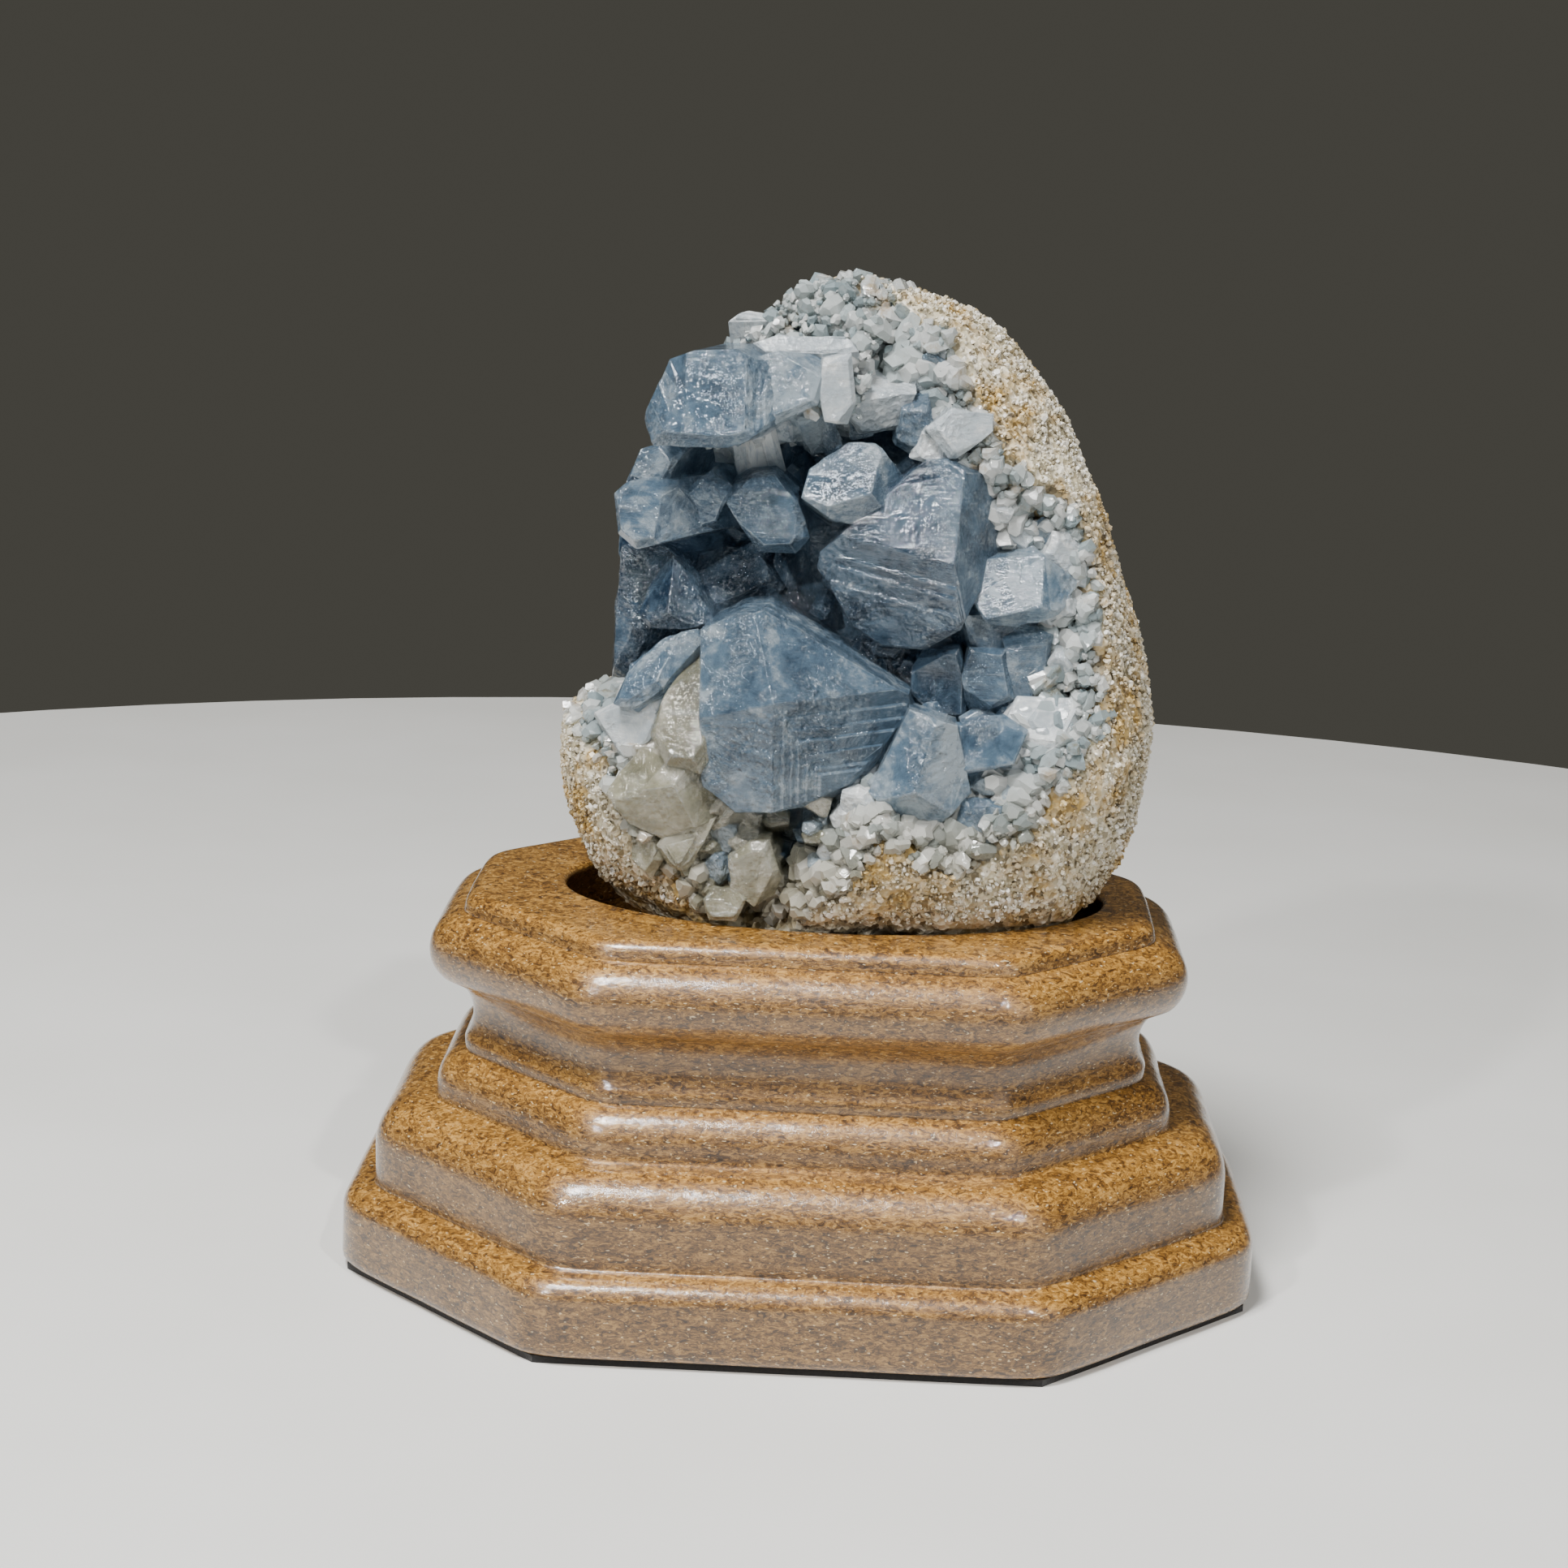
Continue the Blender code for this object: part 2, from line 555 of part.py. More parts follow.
def crystal(name, shape, group):
    """One crystal: a prism on its outline, along its axis, bevelled and cut by its facets.

    Each edge of the outline gives a side along the axis, and a face at 45 degrees that bevels
    the front. A crystal without facets of its own has a front square to its axis.
    """
    hull = outline_hull(shape["outline"])
    middle = sum(hull, Vector((0, 0))) / len(hull)
    peak = Vector(shape.get("peak", middle))
    ahead = direction(*shape["axis"])
    slope = math.sqrt(0.5)
    faces = [(-ahead, shape.get("length", ROOT_DEPTH - shape["depth"]) * MM)]
    for corner, following in zip(hull, hull[1:] + hull[:1]):
        edge = Vector((following.x - corner.x, 0, following.y - corner.y))
        outward = edge.cross(ahead).normalized()
        if outward.dot(Vector((corner.x - middle.x, 0, corner.y - middle.y))) < 0:
            outward.negate()
        reach = outward.dot(Vector((corner.x - peak.x, 0, corner.y - peak.y)))
        faces.append((outward, reach * MM))
        if shape["bevel"]:
            bevel = (reach - shape["bevel"]) * slope
            faces.append(((outward + ahead).normalized(), bevel * MM))
    for azimuth, elevation, distance in shape.get("facets", ((*shape["axis"], 0),)):
        faces.append((direction(azimuth, elevation), distance * MM))
    block = cleave(faces, 200 * MM)
    tip = Vector((peak.x, shape["depth"], peak.y)) * MM + EGG_CENTRE
    bmesh.ops.translate(block, verts=block.verts, vec=tip)
    bmesh.ops.recalc_face_normals(block, faces=block.faces)
    mesh = bpy.data.meshes.new(name)
    block.to_mesh(mesh)
    block.free()
    thing = bpy.data.objects.new(name, mesh)
    group.objects.link(thing)


def small_crystal(dice, ray, radius, size, spread):
    """The shape of a nameless crystal whose peak is on a ray, pointing roughly to the front."""
    x, y, z = ray * radius / MM
    width = dice.uniform(*size)
    height = width * dice.uniform(0.7, 1.1)
    start = dice.uniform(0, 60)
    outline = []
    for i in range(6):
        angle = math.radians(start + 60 * i + dice.uniform(-12, 12))
        outline.append((x + width / 2 * math.cos(angle), z + height / 2 * math.sin(angle)))
    axis = (MOUTH_AZIMUTH + dice.uniform(-spread, spread), dice.uniform(-spread, spread))
    lean = (axis[0] + dice.choice((-35, 35)), axis[1] + dice.uniform(-20, 20))
    facets = ((*axis, 0), (*lean, 0.15 * width))
    return dict(depth=y, axis=axis, outline=outline, bevel=0, facets=facets, length=SMALL_LENGTH)


def bowl_share(share):
    """Front of the grown-together crystals, of the cavity's radius, from middle 0 to edge 1."""
    return BOWL_MIDDLE + (BOWL_EDGE - BOWL_MIDDLE) * share ** 2


def small_crystals(group):
    """Seeded nameless crystals, deep in the middle of the opening and shallow at its edge."""
    dice = random.Random(SEED)
    for i in range(BETWEEN_COUNT):
        turn = dice.uniform(-math.pi, math.pi)
        share = math.sqrt(dice.uniform(0.02, 0.85))
        ray = ray_at(mouth_edge(turn) * share, turn)
        radius = cavity_radius(ray) * bowl_share(share) + dice.uniform(2.5, 6.5) * MM
        crystal(f"between_{i}", small_crystal(dice, ray, radius, BETWEEN_SIZE, 30), group)
    for i in range(EDGE_COUNT):
        turn = -math.pi + 2 * math.pi * (i + dice.random() * 0.5) / EDGE_COUNT
        if mouth_edge(turn) > math.radians(EDGE_FRONT):
            continue
        ray = ray_at(mouth_edge(turn) - math.radians(dice.uniform(4, 8)), turn)
        radius = cavity_radius(ray) - dice.uniform(0.5, 3.0) * MM
        crystal(f"edge_{i}", small_crystal(dice, ray, radius, EDGE_SIZE, 25), group)


def make_crystals(room):
    """The crust: crystals grown together on a bed that fills the rind, kept clear of the rind.

    The bed's front is a bowl: shallow at the edge of the opening and deep in its middle.
    """
    group = bpy.data.collections.new("growing_crystals")
    for name, shape in CRYSTALS.items():
        crystal(name, shape, group)
    small_crystals(group)

    def bed_back(ray):
        return cavity_radius(ray) + 2 * MM

    def clear_of_rind(ray):
        return cavity_radius(ray) - RIND_CLEARANCE

    def far_out(ray):
        return egg_radius(ray) * 1.4

    rings = []
    for share in (BACK_SHARE, 0.75, 0.5, 0.25, 0.02):
        rings.append(lambda turn, s=share: (share_to_back(turn, s), bed_back))
    for share in (1.0, 0.85, 0.7, 0.5, 0.3, 0.1):
        rings.append(lambda turn, s=share: (
            share_to_back(turn, 0.02) * s, lambda ray: cavity_radius(ray) * bowl_share(s)))
    celestite = material("celestite", "#8fa9c4", 0.2, transmission=0.6, ior=1.62)
    bed = polar_solid("celestite_crystals", rings, BED_COLUMNS)
    crust = new_object("celestite_crystals", bed, celestite)
    boolean(crust, "UNION", group=group)

    edge_margin = math.radians(-0.8)
    rings = []
    for share in (0.05, 0.35, 0.7, 1.0):
        rings.append(lambda turn, s=share: (s * (mouth_edge(turn) + edge_margin), far_out))
    rings.append(lambda turn: (mouth_edge(turn) + edge_margin, clear_of_rind))
    for i in range(1, RIND_INNER_ROWS):
        share = BACK_SHARE * i / (RIND_INNER_ROWS - 1)
        rings.append(lambda turn, s=share: (share_to_back(turn, s), clear_of_rind))
    limit = new_object("crust_limit", polar_solid("crust_limit", rings, RIND_COLUMNS))
    hide_cutter(limit)
    boolean(crust, "INTERSECT", limit)
    boolean(crust, "INTERSECT", room)


remove_everything()
make_base()
make_pad()
pocket_room = standing_room()
make_rind(pocket_room)
make_crystals(pocket_room)
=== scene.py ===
"""Looks of a celestite geode that stands in the oval pocket of a varnished MDF base."""
import math

import bmesh
import bpy
import numpy as np
from mathutils import Euler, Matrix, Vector
from mathutils.geometry import convex_hull_2d


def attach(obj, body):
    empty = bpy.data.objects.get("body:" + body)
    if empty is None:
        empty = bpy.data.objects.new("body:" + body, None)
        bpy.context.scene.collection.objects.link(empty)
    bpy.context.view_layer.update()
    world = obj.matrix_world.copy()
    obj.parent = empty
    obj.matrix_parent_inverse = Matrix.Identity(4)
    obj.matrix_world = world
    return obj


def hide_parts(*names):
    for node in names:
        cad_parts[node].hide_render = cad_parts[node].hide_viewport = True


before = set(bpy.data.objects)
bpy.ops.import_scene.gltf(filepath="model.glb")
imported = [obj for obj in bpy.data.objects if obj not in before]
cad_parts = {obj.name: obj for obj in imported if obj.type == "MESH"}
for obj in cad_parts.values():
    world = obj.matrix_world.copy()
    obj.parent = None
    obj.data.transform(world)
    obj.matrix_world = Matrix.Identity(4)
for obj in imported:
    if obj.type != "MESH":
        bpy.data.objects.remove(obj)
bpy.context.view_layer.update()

MM = 0.001
GAP = 0.3 * MM                       # play between pieces that touch

# Camera: where the photographed view was taken from, with its angles in degrees
CAMERA_PLACE = (6.8 * MM, -453.3 * MM, 173.2 * MM)
CAMERA_YAW = 1.48
CAMERA_PITCH = 12.3
CAMERA_ROLL = 2.17
CAMERA_LENS = 68.94                  # on a sensor 36 mm wide

# Lights, in m and W: two that light the whole, and two small ones that glint in the crystals
LIGHTS = {
    "key": dict(place=(-0.25, -0.4, 0.95), aim=(0, 0, 0.08), size=0.25, power=18),
    "fill": dict(place=(0.8, -0.7, 0.5), aim=(0, 0, 0.08), size=0.8, power=2),
    "left_sparkle": dict(place=(-0.45, -0.75, 0.6), aim=(0, 0, 0.09), size=0.05, power=5),
    "right_sparkle": dict(place=(0.3, -0.6, 0.75), aim=(0, 0, 0.06), size=0.03, power=4),
}
TABLE_RADIUS = 0.46
TABLE_DEPTH = 20 * MM

# Base: an octagon 140 x 110 mm, routed in tiers out of three glued 19 mm boards
BASE_WIDTH = 140 * MM
BASE_DEPTH = 110 * MM
CORNER_LEG = 33 * MM
WOOD_FOOT = 1.3 * MM
BASE_TOP = 58.3 * MM
CORNER_SHARPNESS = 46                # 2 is an ellipse, more is a sharper octagon
POCKET_WIDTH = 83 * MM
POCKET_DEPTH = 53.5 * MM
POCKET_SINK = 12 * MM
POCKET_X = 3.5 * MM
POCKET_FLOOR = BASE_TOP - POCKET_SINK
POCKET_LIP = 1.2 * MM                # radius of the sanded edge of the pocket
SANDING = 0.12 * MM                  # unevenness of the sanded and thickly varnished routing

# Rind: an egg, wider below, whose wall is broken away in front
EGG_CENTRE = np.array((6.5, 0.0, 97.3)) * MM
EGG_HALF_WIDTH = 42.8 * MM
EGG_HALF_DEPTH = 30.5 * MM
EGG_ABOVE = 54.7 * MM
EGG_BELOW = 50.9 * MM
EGG_SQUARENESS = 2.3
EGG_TAPER = 0.24
RIND_WALL = 7 * MM
LUMP_HEIGHT = 0.8 * MM
MOUTH_AZIMUTH = -14
MOUTH_ELEVATION = 3

# Half-angle of the opening, in degrees, at each angle round it (0 is right, 90 is up)
MOUTH_EDGE = (
    (-180, 112), (-169, 108), (-161, 62), (-150, 54), (-140, 54), (-120, 59), (-100, 64),
    (-84, 53), (-68, 46), (-50, 62), (-25, 68), (-5, 77), (30, 81), (55, 71), (80, 80),
    (105, 90), (130, 104), (160, 112), (180, 112),
)
BOWL_EDGE = 0.76                     # front of the grown-together crystals, as a share of the
BOWL_MIDDLE = 0.42                   # cavity's radius: at the opening's edge and at its middle

# Crystals, in mm from the middle of the egg. A crystal's outline is its corners (x, z) as seen
# from the front, at its depth y, and its axis points along azimuth (0 is to the front, 90 to the
# right) and elevation. Its facets are tip faces as (azimuth, elevation, distance beyond its peak),
# and its peak is a point (x, z) at its depth, by default the middle of the outline. A bevel, in
# mm, runs round its front. Plates and stairs are counted, a tint goes from 0, dark, to 1, pale,
# and a tone is the kind of celestite, clear unless it is given. A tint is partly the crystal's
# own tone and partly painted light: crystals that lie in shadow under the overhang get low tints
# as painted shade, and top crystals that face the light get high tints as painted light.
# ORDINARY holds the other values of a crystal that doesn't give its own.
ORDINARY = dict(bevel=0.6, plates=3, stairs=0, tint=0.5, facets=None)
CRYSTALS = {
    "top_left": dict(
        depth=-24, axis=(-12, 0), peak=(-23, 37), bevel=1.0, plates=5, tint=0.62, stairs=5,
        outline=((-34.5, 34), (-32, 30.5), (-21, 31), (-18, 32), (-14, 35), (-15.5, 43),
                 (-20.5, 45), (-26.5, 44.5), (-30.5, 43)),
        facets=((-8, 12, 0), (-58, 5, 5.5), (-5, -50, 4), (40, 10, 3.4))),
    "great_dark": dict(
        depth=-25, axis=(-8, -6), peak=(12.5, 15.5), bevel=0.5, plates=6, tint=0.22, stairs=3,
        outline=((-8.5, 12.5), (-8, 15), (-1.5, 21.5), (7, 29.5), (10, 30), (15, 27.5),
                 (19, 19.5), (18.5, 17), (13.5, 5.5), (8, 1.5), (1.5, 1), (-3, 3.5)),
        facets=((-14, 13, 0), (55, 4, 0), (-20, -18, 0))),
    "great_pale": dict(
        depth=-34, axis=(-4, 0), peak=(-12.5, -4), bevel=0.8, plates=7, tint=0.4, stairs=6,
        outline=((-24.5, 4.5), (-19, 7.5), (-15, 8), (1, -1.5), (6, -4), (6.5, -7), (2.5, -13.5),
                 (-1, -18), (-6.5, -20), (-18, -21.5), (-23, -18)),
        facets=((-32, 20, 0), (-22, -12, 0), (30, 34, 0), (32, -10, 0))),
    "frosted": dict(
        depth=-21, axis=(0, 12), peak=(-3, 27), bevel=0.8, plates=6, tint=0.65,
        outline=((-10, 24), (-9, 28.5), (-3.5, 32.5), (0.5, 32.5), (5, 28), (4.5, 25), (0, 23),
                 (-2.5, 20.5), (-5.5, 21)),
        facets=((-10, 24, 0), (10, -30, 2.6), (48, 6, 3))),
    "hexagon": dict(
        depth=-18, axis=(0, -10), peak=(-15, 20), tint=0.35,
        outline=((-21, 22), (-20, 23.5), (-17.5, 25.5), (-14, 26), (-10.5, 23), (-8.5, 17.5),
                 (-10.5, 15), (-16, 15)),
        facets=((-8, 8, 0), (-10, 45, 2.6))),
    "right_middle": dict(
        depth=-21, axis=(12, -4), peak=(24, 11.5), plates=4, tint=0.62,
        outline=((15.5, 10), (18, 15.5), (25.5, 17), (29.5, 14), (32, 12.5), (28.5, 8), (22, 6),
                 (18, 6.5)),
        facets=((-12, 20, 0), (40, 15, 1.2), (10, -45, 2.2))),
    "down_pointing": dict(
        depth=-30, axis=(0, 4), peak=(8.5, -13), bevel=0.8, plates=4, tint=0.6,
        outline=((1.5, -17.5), (7, -5), (14, -7), (16.5, -17), (11, -23.5), (6, -21.5)),
        facets=((-25, 12, 0), (25, 0, 0.6), (-5, -40, 3))),
    "left_upper": dict(
        depth=-15, axis=(-25, 0), peak=(-34, 20), bevel=0.8, tint=0.45,
        outline=((-39, 22.5), (-36.5, 24.5), (-29, 25), (-24.5, 17.5), (-34.5, 14.5),
                 (-38, 16.5)),
        facets=((-20, 8, 0), (-10, 55, 2.5), (30, 0, 2.5))),
    "left_top": dict(
        depth=-10, axis=(-20, 5),
        outline=((-36.5, 25), (-35, 29), (-27, 31), (-29.5, 25), (-31, 23))),
    "left_notch": dict(
        depth=-13, axis=(-8, 0), bevel=0.5,
        outline=((-27.5, 23), (-24, 26.5), (-20.5, 24), (-22.5, 19), (-25, 18))),
    "left_pointed": dict(
        depth=-15, axis=(-15, 8), peak=(-28.5, 9), bevel=0.8, tint=0.25,
        outline=((-29, 14), (-26, 10), (-22, 4), (-27, 3), (-32, 3), (-34.5, 5), (-33, 10.5)),
        facets=((-48, 18, 0.6), (22, 20, 0.4))),
    "left_dark": dict(
        depth=-9, axis=(5, 0), peak=(-19, 9), tint=0.1,
        outline=((-25, 13), (-20.5, 14.5), (-16, 13.5), (-12, 9), (-14, 6), (-21, 4), (-27, 4)),
        facets=((-10, 30, 0), (20, -25, 1))),
    "left_flank": dict(
        depth=-9, axis=(-35, 0), bevel=0.8, tint=0.15,
        outline=((-40, -6), (-39.5, 5), (-38.5, 14), (-33, 15), (-28, 12), (-31, 3), (-36, -6)),
        facets=((-40, 5, 0.5), (0, 15, 0.5))),
    "left_edge": dict(
        depth=0, axis=(-40, 0), bevel=0.8, plates=2, tint=0.15,
        outline=((-41, 4), (-40.5, 17), (-38, 25), (-30, 20), (-30, 2))),
    "left_blade": dict(
        depth=-23, axis=(-22, 20), peak=(-31, -1.5), bevel=0.5, tint=0.7,
        outline=((-36.5, -7), (-35, -2), (-30.5, 3), (-25, 5), (-24, 3), (-28.5, -5), (-33, -8)),
        facets=((-30, 30, 0), (15, 15, 1.5))),
    "left_glass": dict(
        depth=-27, axis=(-8, 10), tone="straw", tint=0.3,
        outline=((-29, -5), (-25, 3), (-20, 2), (-21, -12), (-22.5, -16), (-28, -15),
                 (-30.5, -10.5))),
    "shaded_top": dict(
        depth=-9, axis=(0, -8), peak=(-13, 31), tint=0.2,
        outline=((-20, 29.5), (-14, 35), (-8, 37), (-7, 31), (-10, 26), (-12, 23), (-19, 25)),
        facets=((-15, 12, 0), (30, -15, 0.5))),
    "top_middle": dict(
        depth=-21, axis=(0, 8), bevel=0.5, tint=0.7,
        outline=((-17, 44), (-14, 45), (-8, 45), (-7, 43), (-8, 37.5), (-11.5, 36.5),
                 (-15, 34))),
    "top_ridge": dict(
        depth=-16, axis=(0, 50), bevel=0.5, plates=5, tone="milky", tint=0.5,
        outline=((-18, 46), (-15, 48.5), (-3.5, 48.5), (-2.5, 44.5), (-8, 43.5), (-16, 43.5))),
    "top_bump": dict(
        depth=-5, axis=(-10, 60), bevel=0.5, tone="milky",
        outline=((-22, 46.5), (-21, 50), (-19.5, 52), (-17, 50.5), (-16, 46))),
    "top_shard": dict(
        depth=-21, axis=(5, 0), bevel=0.5, tone="milky",
        outline=((-7.5, 44), (-3.5, 45), (-2.5, 38), (-3.5, 34.5), (-7, 35), (-8, 39))),
    "right_top_c": dict(
        depth=-15, axis=(0, -25), bevel=0.5, plates=4, tone="milky",
        outline=((-5.5, 37), (-2, 39.5), (6, 39.5), (5, 35), (3.5, 32), (-2, 32))),
    "right_top_d": dict(
        depth=-17, axis=(5, -10), bevel=0.5,
        outline=((4, 37), (8, 38.5), (9, 34), (6.5, 29), (3.5, 31))),
    "right_back": dict(
        depth=-14, axis=(10, 5), bevel=0.8, tint=0.15,
        outline=((6, 33), (10, 39), (15, 34), (20.5, 24), (19.5, 17), (12, 22))),
    "dark_small": dict(
        depth=-18, axis=(-8, -4), bevel=0.5, tint=0.1,
        outline=((7, -1), (8.5, 1.5), (14, 2.5), (15.5, -1.5), (15.5, -8), (10.5, -8),
                 (7, -5))),
    "clear_small": dict(
        depth=-20, axis=(5, 5), plates=4,
        outline=((14.5, -1.5), (15.5, 3), (21, 3), (22.5, -4.5), (18, -6.5), (16, -7.5))),
    "right_tall": dict(
        depth=-19, axis=(14, 0),
        outline=((20.5, 5.5), (24, 6.5), (28, 5), (27.5, -1), (24.5, -5.5), (21.5, -5.5))),
    "right_under": dict(
        depth=-16, axis=(20, -10),
        outline=((13, 8), (20, 7), (29, 8), (32, 4), (27, 0), (16, 1))),
    "striped": dict(
        depth=-26, axis=(2, 18), bevel=0.5, plates=2, tint=0.5, stairs=5,
        outline=((13.5, -7), (21, -5), (24.5, -7.5), (22.5, -13), (17, -14), (14.5, -15))),
    "low_blue": dict(
        depth=-22, axis=(0, -5), bevel=0.5,
        outline=((-4, -21), (1.5, -18.5), (4, -23), (0, -27))),
    "low_dark": dict(
        depth=-17, axis=(0, -12),
        outline=((-13, -22), (-4, -21), (-3, -30), (-8, -34), (-13, -31))),
    "right_low_a": dict(
        depth=-27, axis=(6, 4), plates=4,
        outline=((14.5, -22), (15.5, -18), (22, -18.5), (22, -24), (19, -27.5), (15.5, -27))),
    "right_low_c": dict(
        depth=-25, axis=(4, 4), bevel=0.4, plates=2,
        outline=((10.5, -24.5), (15, -24), (16, -28), (12.5, -29.5), (10, -28))),
    "white_wedge": dict(
        depth=-24, axis=(18, 6), peak=(27, -9), bevel=0.7, plates=4, tone="milky",
        outline=((20, -9.5), (24.5, -3.5), (34.5, -3.5), (35, -5.5), (31, -9), (28, -14),
                 (27.5, -17), (21, -17), (19.5, -13.5)),
        facets=((-5, 42, 0), (-8, -8, 0.4), (52, 5, 2))),
    "left_ledge": dict(
        depth=-21, axis=(-22, 12), plates=5, tone="milky",
        outline=((-41, -9), (-36, -6.5), (-29, -5), (-28, -9.5), (-30.5, -13), (-37.5, -17),
                 (-41, -15))),
    "straw_coloured": dict(
        depth=-27, axis=(-15, 4), peak=(-29.5, -19), plates=8, tone="straw",
        outline=((-37.5, -20), (-36, -17), (-33, -13), (-26.5, -13.5), (-21, -15.5),
                 (-19.5, -22.5), (-29, -26.5), (-34, -24.5)),
        facets=((-22, 30, 0), (-10, -22, 0.4), (38, 2, 3))),
    "low_straw": dict(
        depth=-24, axis=(0, 2), bevel=0.5, tone="straw",
        outline=((-7, -23), (-4, -21.5), (-0.5, -24.5), (-1.5, -29.5), (-5, -28.5))),
    "low_a": dict(
        depth=-25, axis=(-10, -6), bevel=0.5, plates=6, tone="straw",
        outline=((-29.5, -28), (-28, -25.5), (-20.5, -23), (-23, -28.5), (-25, -32),
                 (-27.5, -31))),
    "low_b": dict(
        depth=-27, axis=(0, 0), plates=6, tone="straw",
        outline=((-18.5, -29), (-15.5, -26), (-12.5, -25.5), (-10.5, -31.5), (-11.5, -34.5),
                 (-14.5, -36), (-18, -33.5))),
    "low_c": dict(
        depth=-22, axis=(0, -5), bevel=0.5, tone="straw",
        outline=((-24, -26), (-17, -25), (-15, -31), (-20, -35), (-25, -32))),
    "low_d": dict(
        depth=-27, axis=(0, 10), bevel=0.4, plates=2, tone="straw",
        outline=((-22, -35), (-20.5, -33), (-18, -33), (-15.5, -34.5), (-17, -38),
                 (-21, -38))),
    "low_e": dict(
        depth=-23, axis=(-15, 0), tone="straw",
        outline=((-36, -25), (-30, -25), (-28, -30), (-31, -35), (-36, -32))),
    "right_top_a": dict(
        depth=-20, axis=(6, 4), tone="milky",
        outline=((7.5, 34.5), (11, 37.5), (17.5, 37), (17.5, 34.5), (12.5, 30.5), (11, 30.5))),
    "right_top_b": dict(
        depth=-19, axis=(0, 0), bevel=0.5, plates=2, tone="milky",
        outline=((5.5, 30), (7.5, 35), (11.5, 31), (10.5, 29))),
    "white_a": dict(
        depth=-14, axis=(10, 20), bevel=0.5, plates=2, tone="milky",
        outline=((15, 26), (16, 30), (19.5, 31), (19.5, 26))),
    "white_b": dict(
        depth=-14, axis=(15, 10), bevel=0.5, plates=2, tone="milky",
        outline=((18, 25), (21, 29.5), (24.5, 26.5), (22, 21.5))),
    "white_c": dict(
        depth=-15, axis=(15, 10), bevel=0.5, plates=2, tone="milky",
        outline=((19, 16.5), (21, 21), (25.5, 21.5), (25.5, 19), (22.5, 16))),
    "white_d": dict(
        depth=-16, axis=(20, 5), tone="milky",
        outline=((25.5, 16.5), (27, 20), (31.5, 19.5), (33.5, 11.5), (29.5, 12.5))),
    "right_low_b": dict(
        depth=-25, axis=(12, 12), bevel=0.5, plates=2, tone="milky",
        outline=((22, -28), (25, -21.5), (27.5, -23), (27, -27), (24, -30.5))),
}
ROOT_DEPTH = 12                      # how far back, in mm, the roots of the crystals reach
BETWEEN = 130                        # nameless crystals that fill between the others
AT_EDGE = 170                        # nameless crystals along the broken edge
EDGE_TURNS = (-155, 100)             # where they stand, in degrees round the opening
LOW_LEFT = -85                       # up to here most are straw coloured, and the band is wider
IN_CROWN = 120                       # nameless crystals over the top left of the opening
CROWN_TILTS = (62, 93)               # where they stand, in degrees from the opening's axis
CROWN_TURNS = (88, 122)              # and round it
CROWN_RISE = 48                      # how far they lean upwards, in degrees
DRUSE = 3900                         # small crystals on the broken edge, with those of its crown
CROWN_DRUSE = 1300                   # those of the crown, which reach a little beyond its crystals
DRUSE_TILTS = (60, 96)
DRUSE_TURNS = (86, 125)
CLEAR_OF_BASE = 1.5 * MM             # how far above the base druse and grains begin
GRAINS = 11000                       # sugary grains, before those over the opening are left out
FINE_GRAINS = 42000                  # finer ones between them, before those at the back are
FACES_FRONT = 0.3                    # cosine to the axis from which a face is at the tip
FACES_ROOT = -0.5                    # and below which it is at the root
STAIR_TREAD = 1.5 * MM               # width and height of the growth stairs on a facet
STAIR_RISE = 0.3 * MM
STAIR_SIDE = (-40, 55)               # azimuth and elevation of the side that they climb from
WORN_EDGE = 0.18 * MM                # chamfer that handling and growth leave on crystal edges
ON_FACE = 0.006 * MM                 # how near its planes a crystal's own face lies at most,
ON_EDGE = 0.12 * MM                  # and how near a worn edge of it
LONGEST_CRYSTAL = 60 * MM            # no face of a crystal is farther from its peak
FACE_STEP = 1.6 * MM                 # longest edge of the triangles that crystal faces are cut in
HIDDEN_STEP = 12 * MM                # and of those that nobody sees
SEED = 11

# Colours from dark to light, and their places on a ramp: of celestite, and of the stained board.
# The board's upright colours are its stain painted darker, as painted shade from the light above.
TONE_STEPS = (0.35, 0.8, 1.0)
CLEAR_TONES = ("#273c51", "#728ca2", "#bbcad3")
MILKY_TONES = ("#a3b1ba", "#cdd6da", "#edf0ef")
STRAW_TONES = ("#85836c", "#c0bba0", "#e8e3cf")
STAIN_STEPS = (0.38, 0.45, 0.52, 0.6)
FLAT_STAIN = ("#3c2408", "#6f4a1a", "#93682a", "#b88b46")
UPRIGHT_STAIN_SHADED = ("#291a09", "#4e3517", "#6d4e26", "#8e6c3b")
CELESTITE_INDEX = 1.62               # refractive index


# Numbers and noise

def unit(vectors):
    """Vectors of length one."""
    return vectors / np.linalg.norm(vectors, axis=-1, keepdims=True)


def random_at(cells, seed):
    """A random value, 0 to 1, for each cell of a cubic lattice: its integer place, hashed."""
    mixed = (cells[..., 0] * 73856093) ^ (cells[..., 1] * 19349663) ^ (cells[..., 2] * 83492791)
    mixed = (mixed ^ (seed * 2654435761)) & 0xffffffff
    mixed = ((mixed ^ (mixed >> 13)) * 1274126177) & 0xffffffff
    return (mixed ^ (mixed >> 16)) / 2 ** 32


def soft_noise(points, cell, seed):
    """Smooth noise, -1 to 1: random values at the corners of cubes, eased between them."""
    place = points / cell
    corner = np.floor(place).astype(np.int64)
    share = place - corner
    share = share * share * (3 - 2 * share)
    total = np.zeros(points.shape[:-1])
    for step in np.ndindex(2, 2, 2):
        weight = np.prod(np.where(np.array(step) == 1, share, 1 - share), axis=-1)
        total += weight * random_at(corner + np.array(step), seed)
    return 2 * total - 1


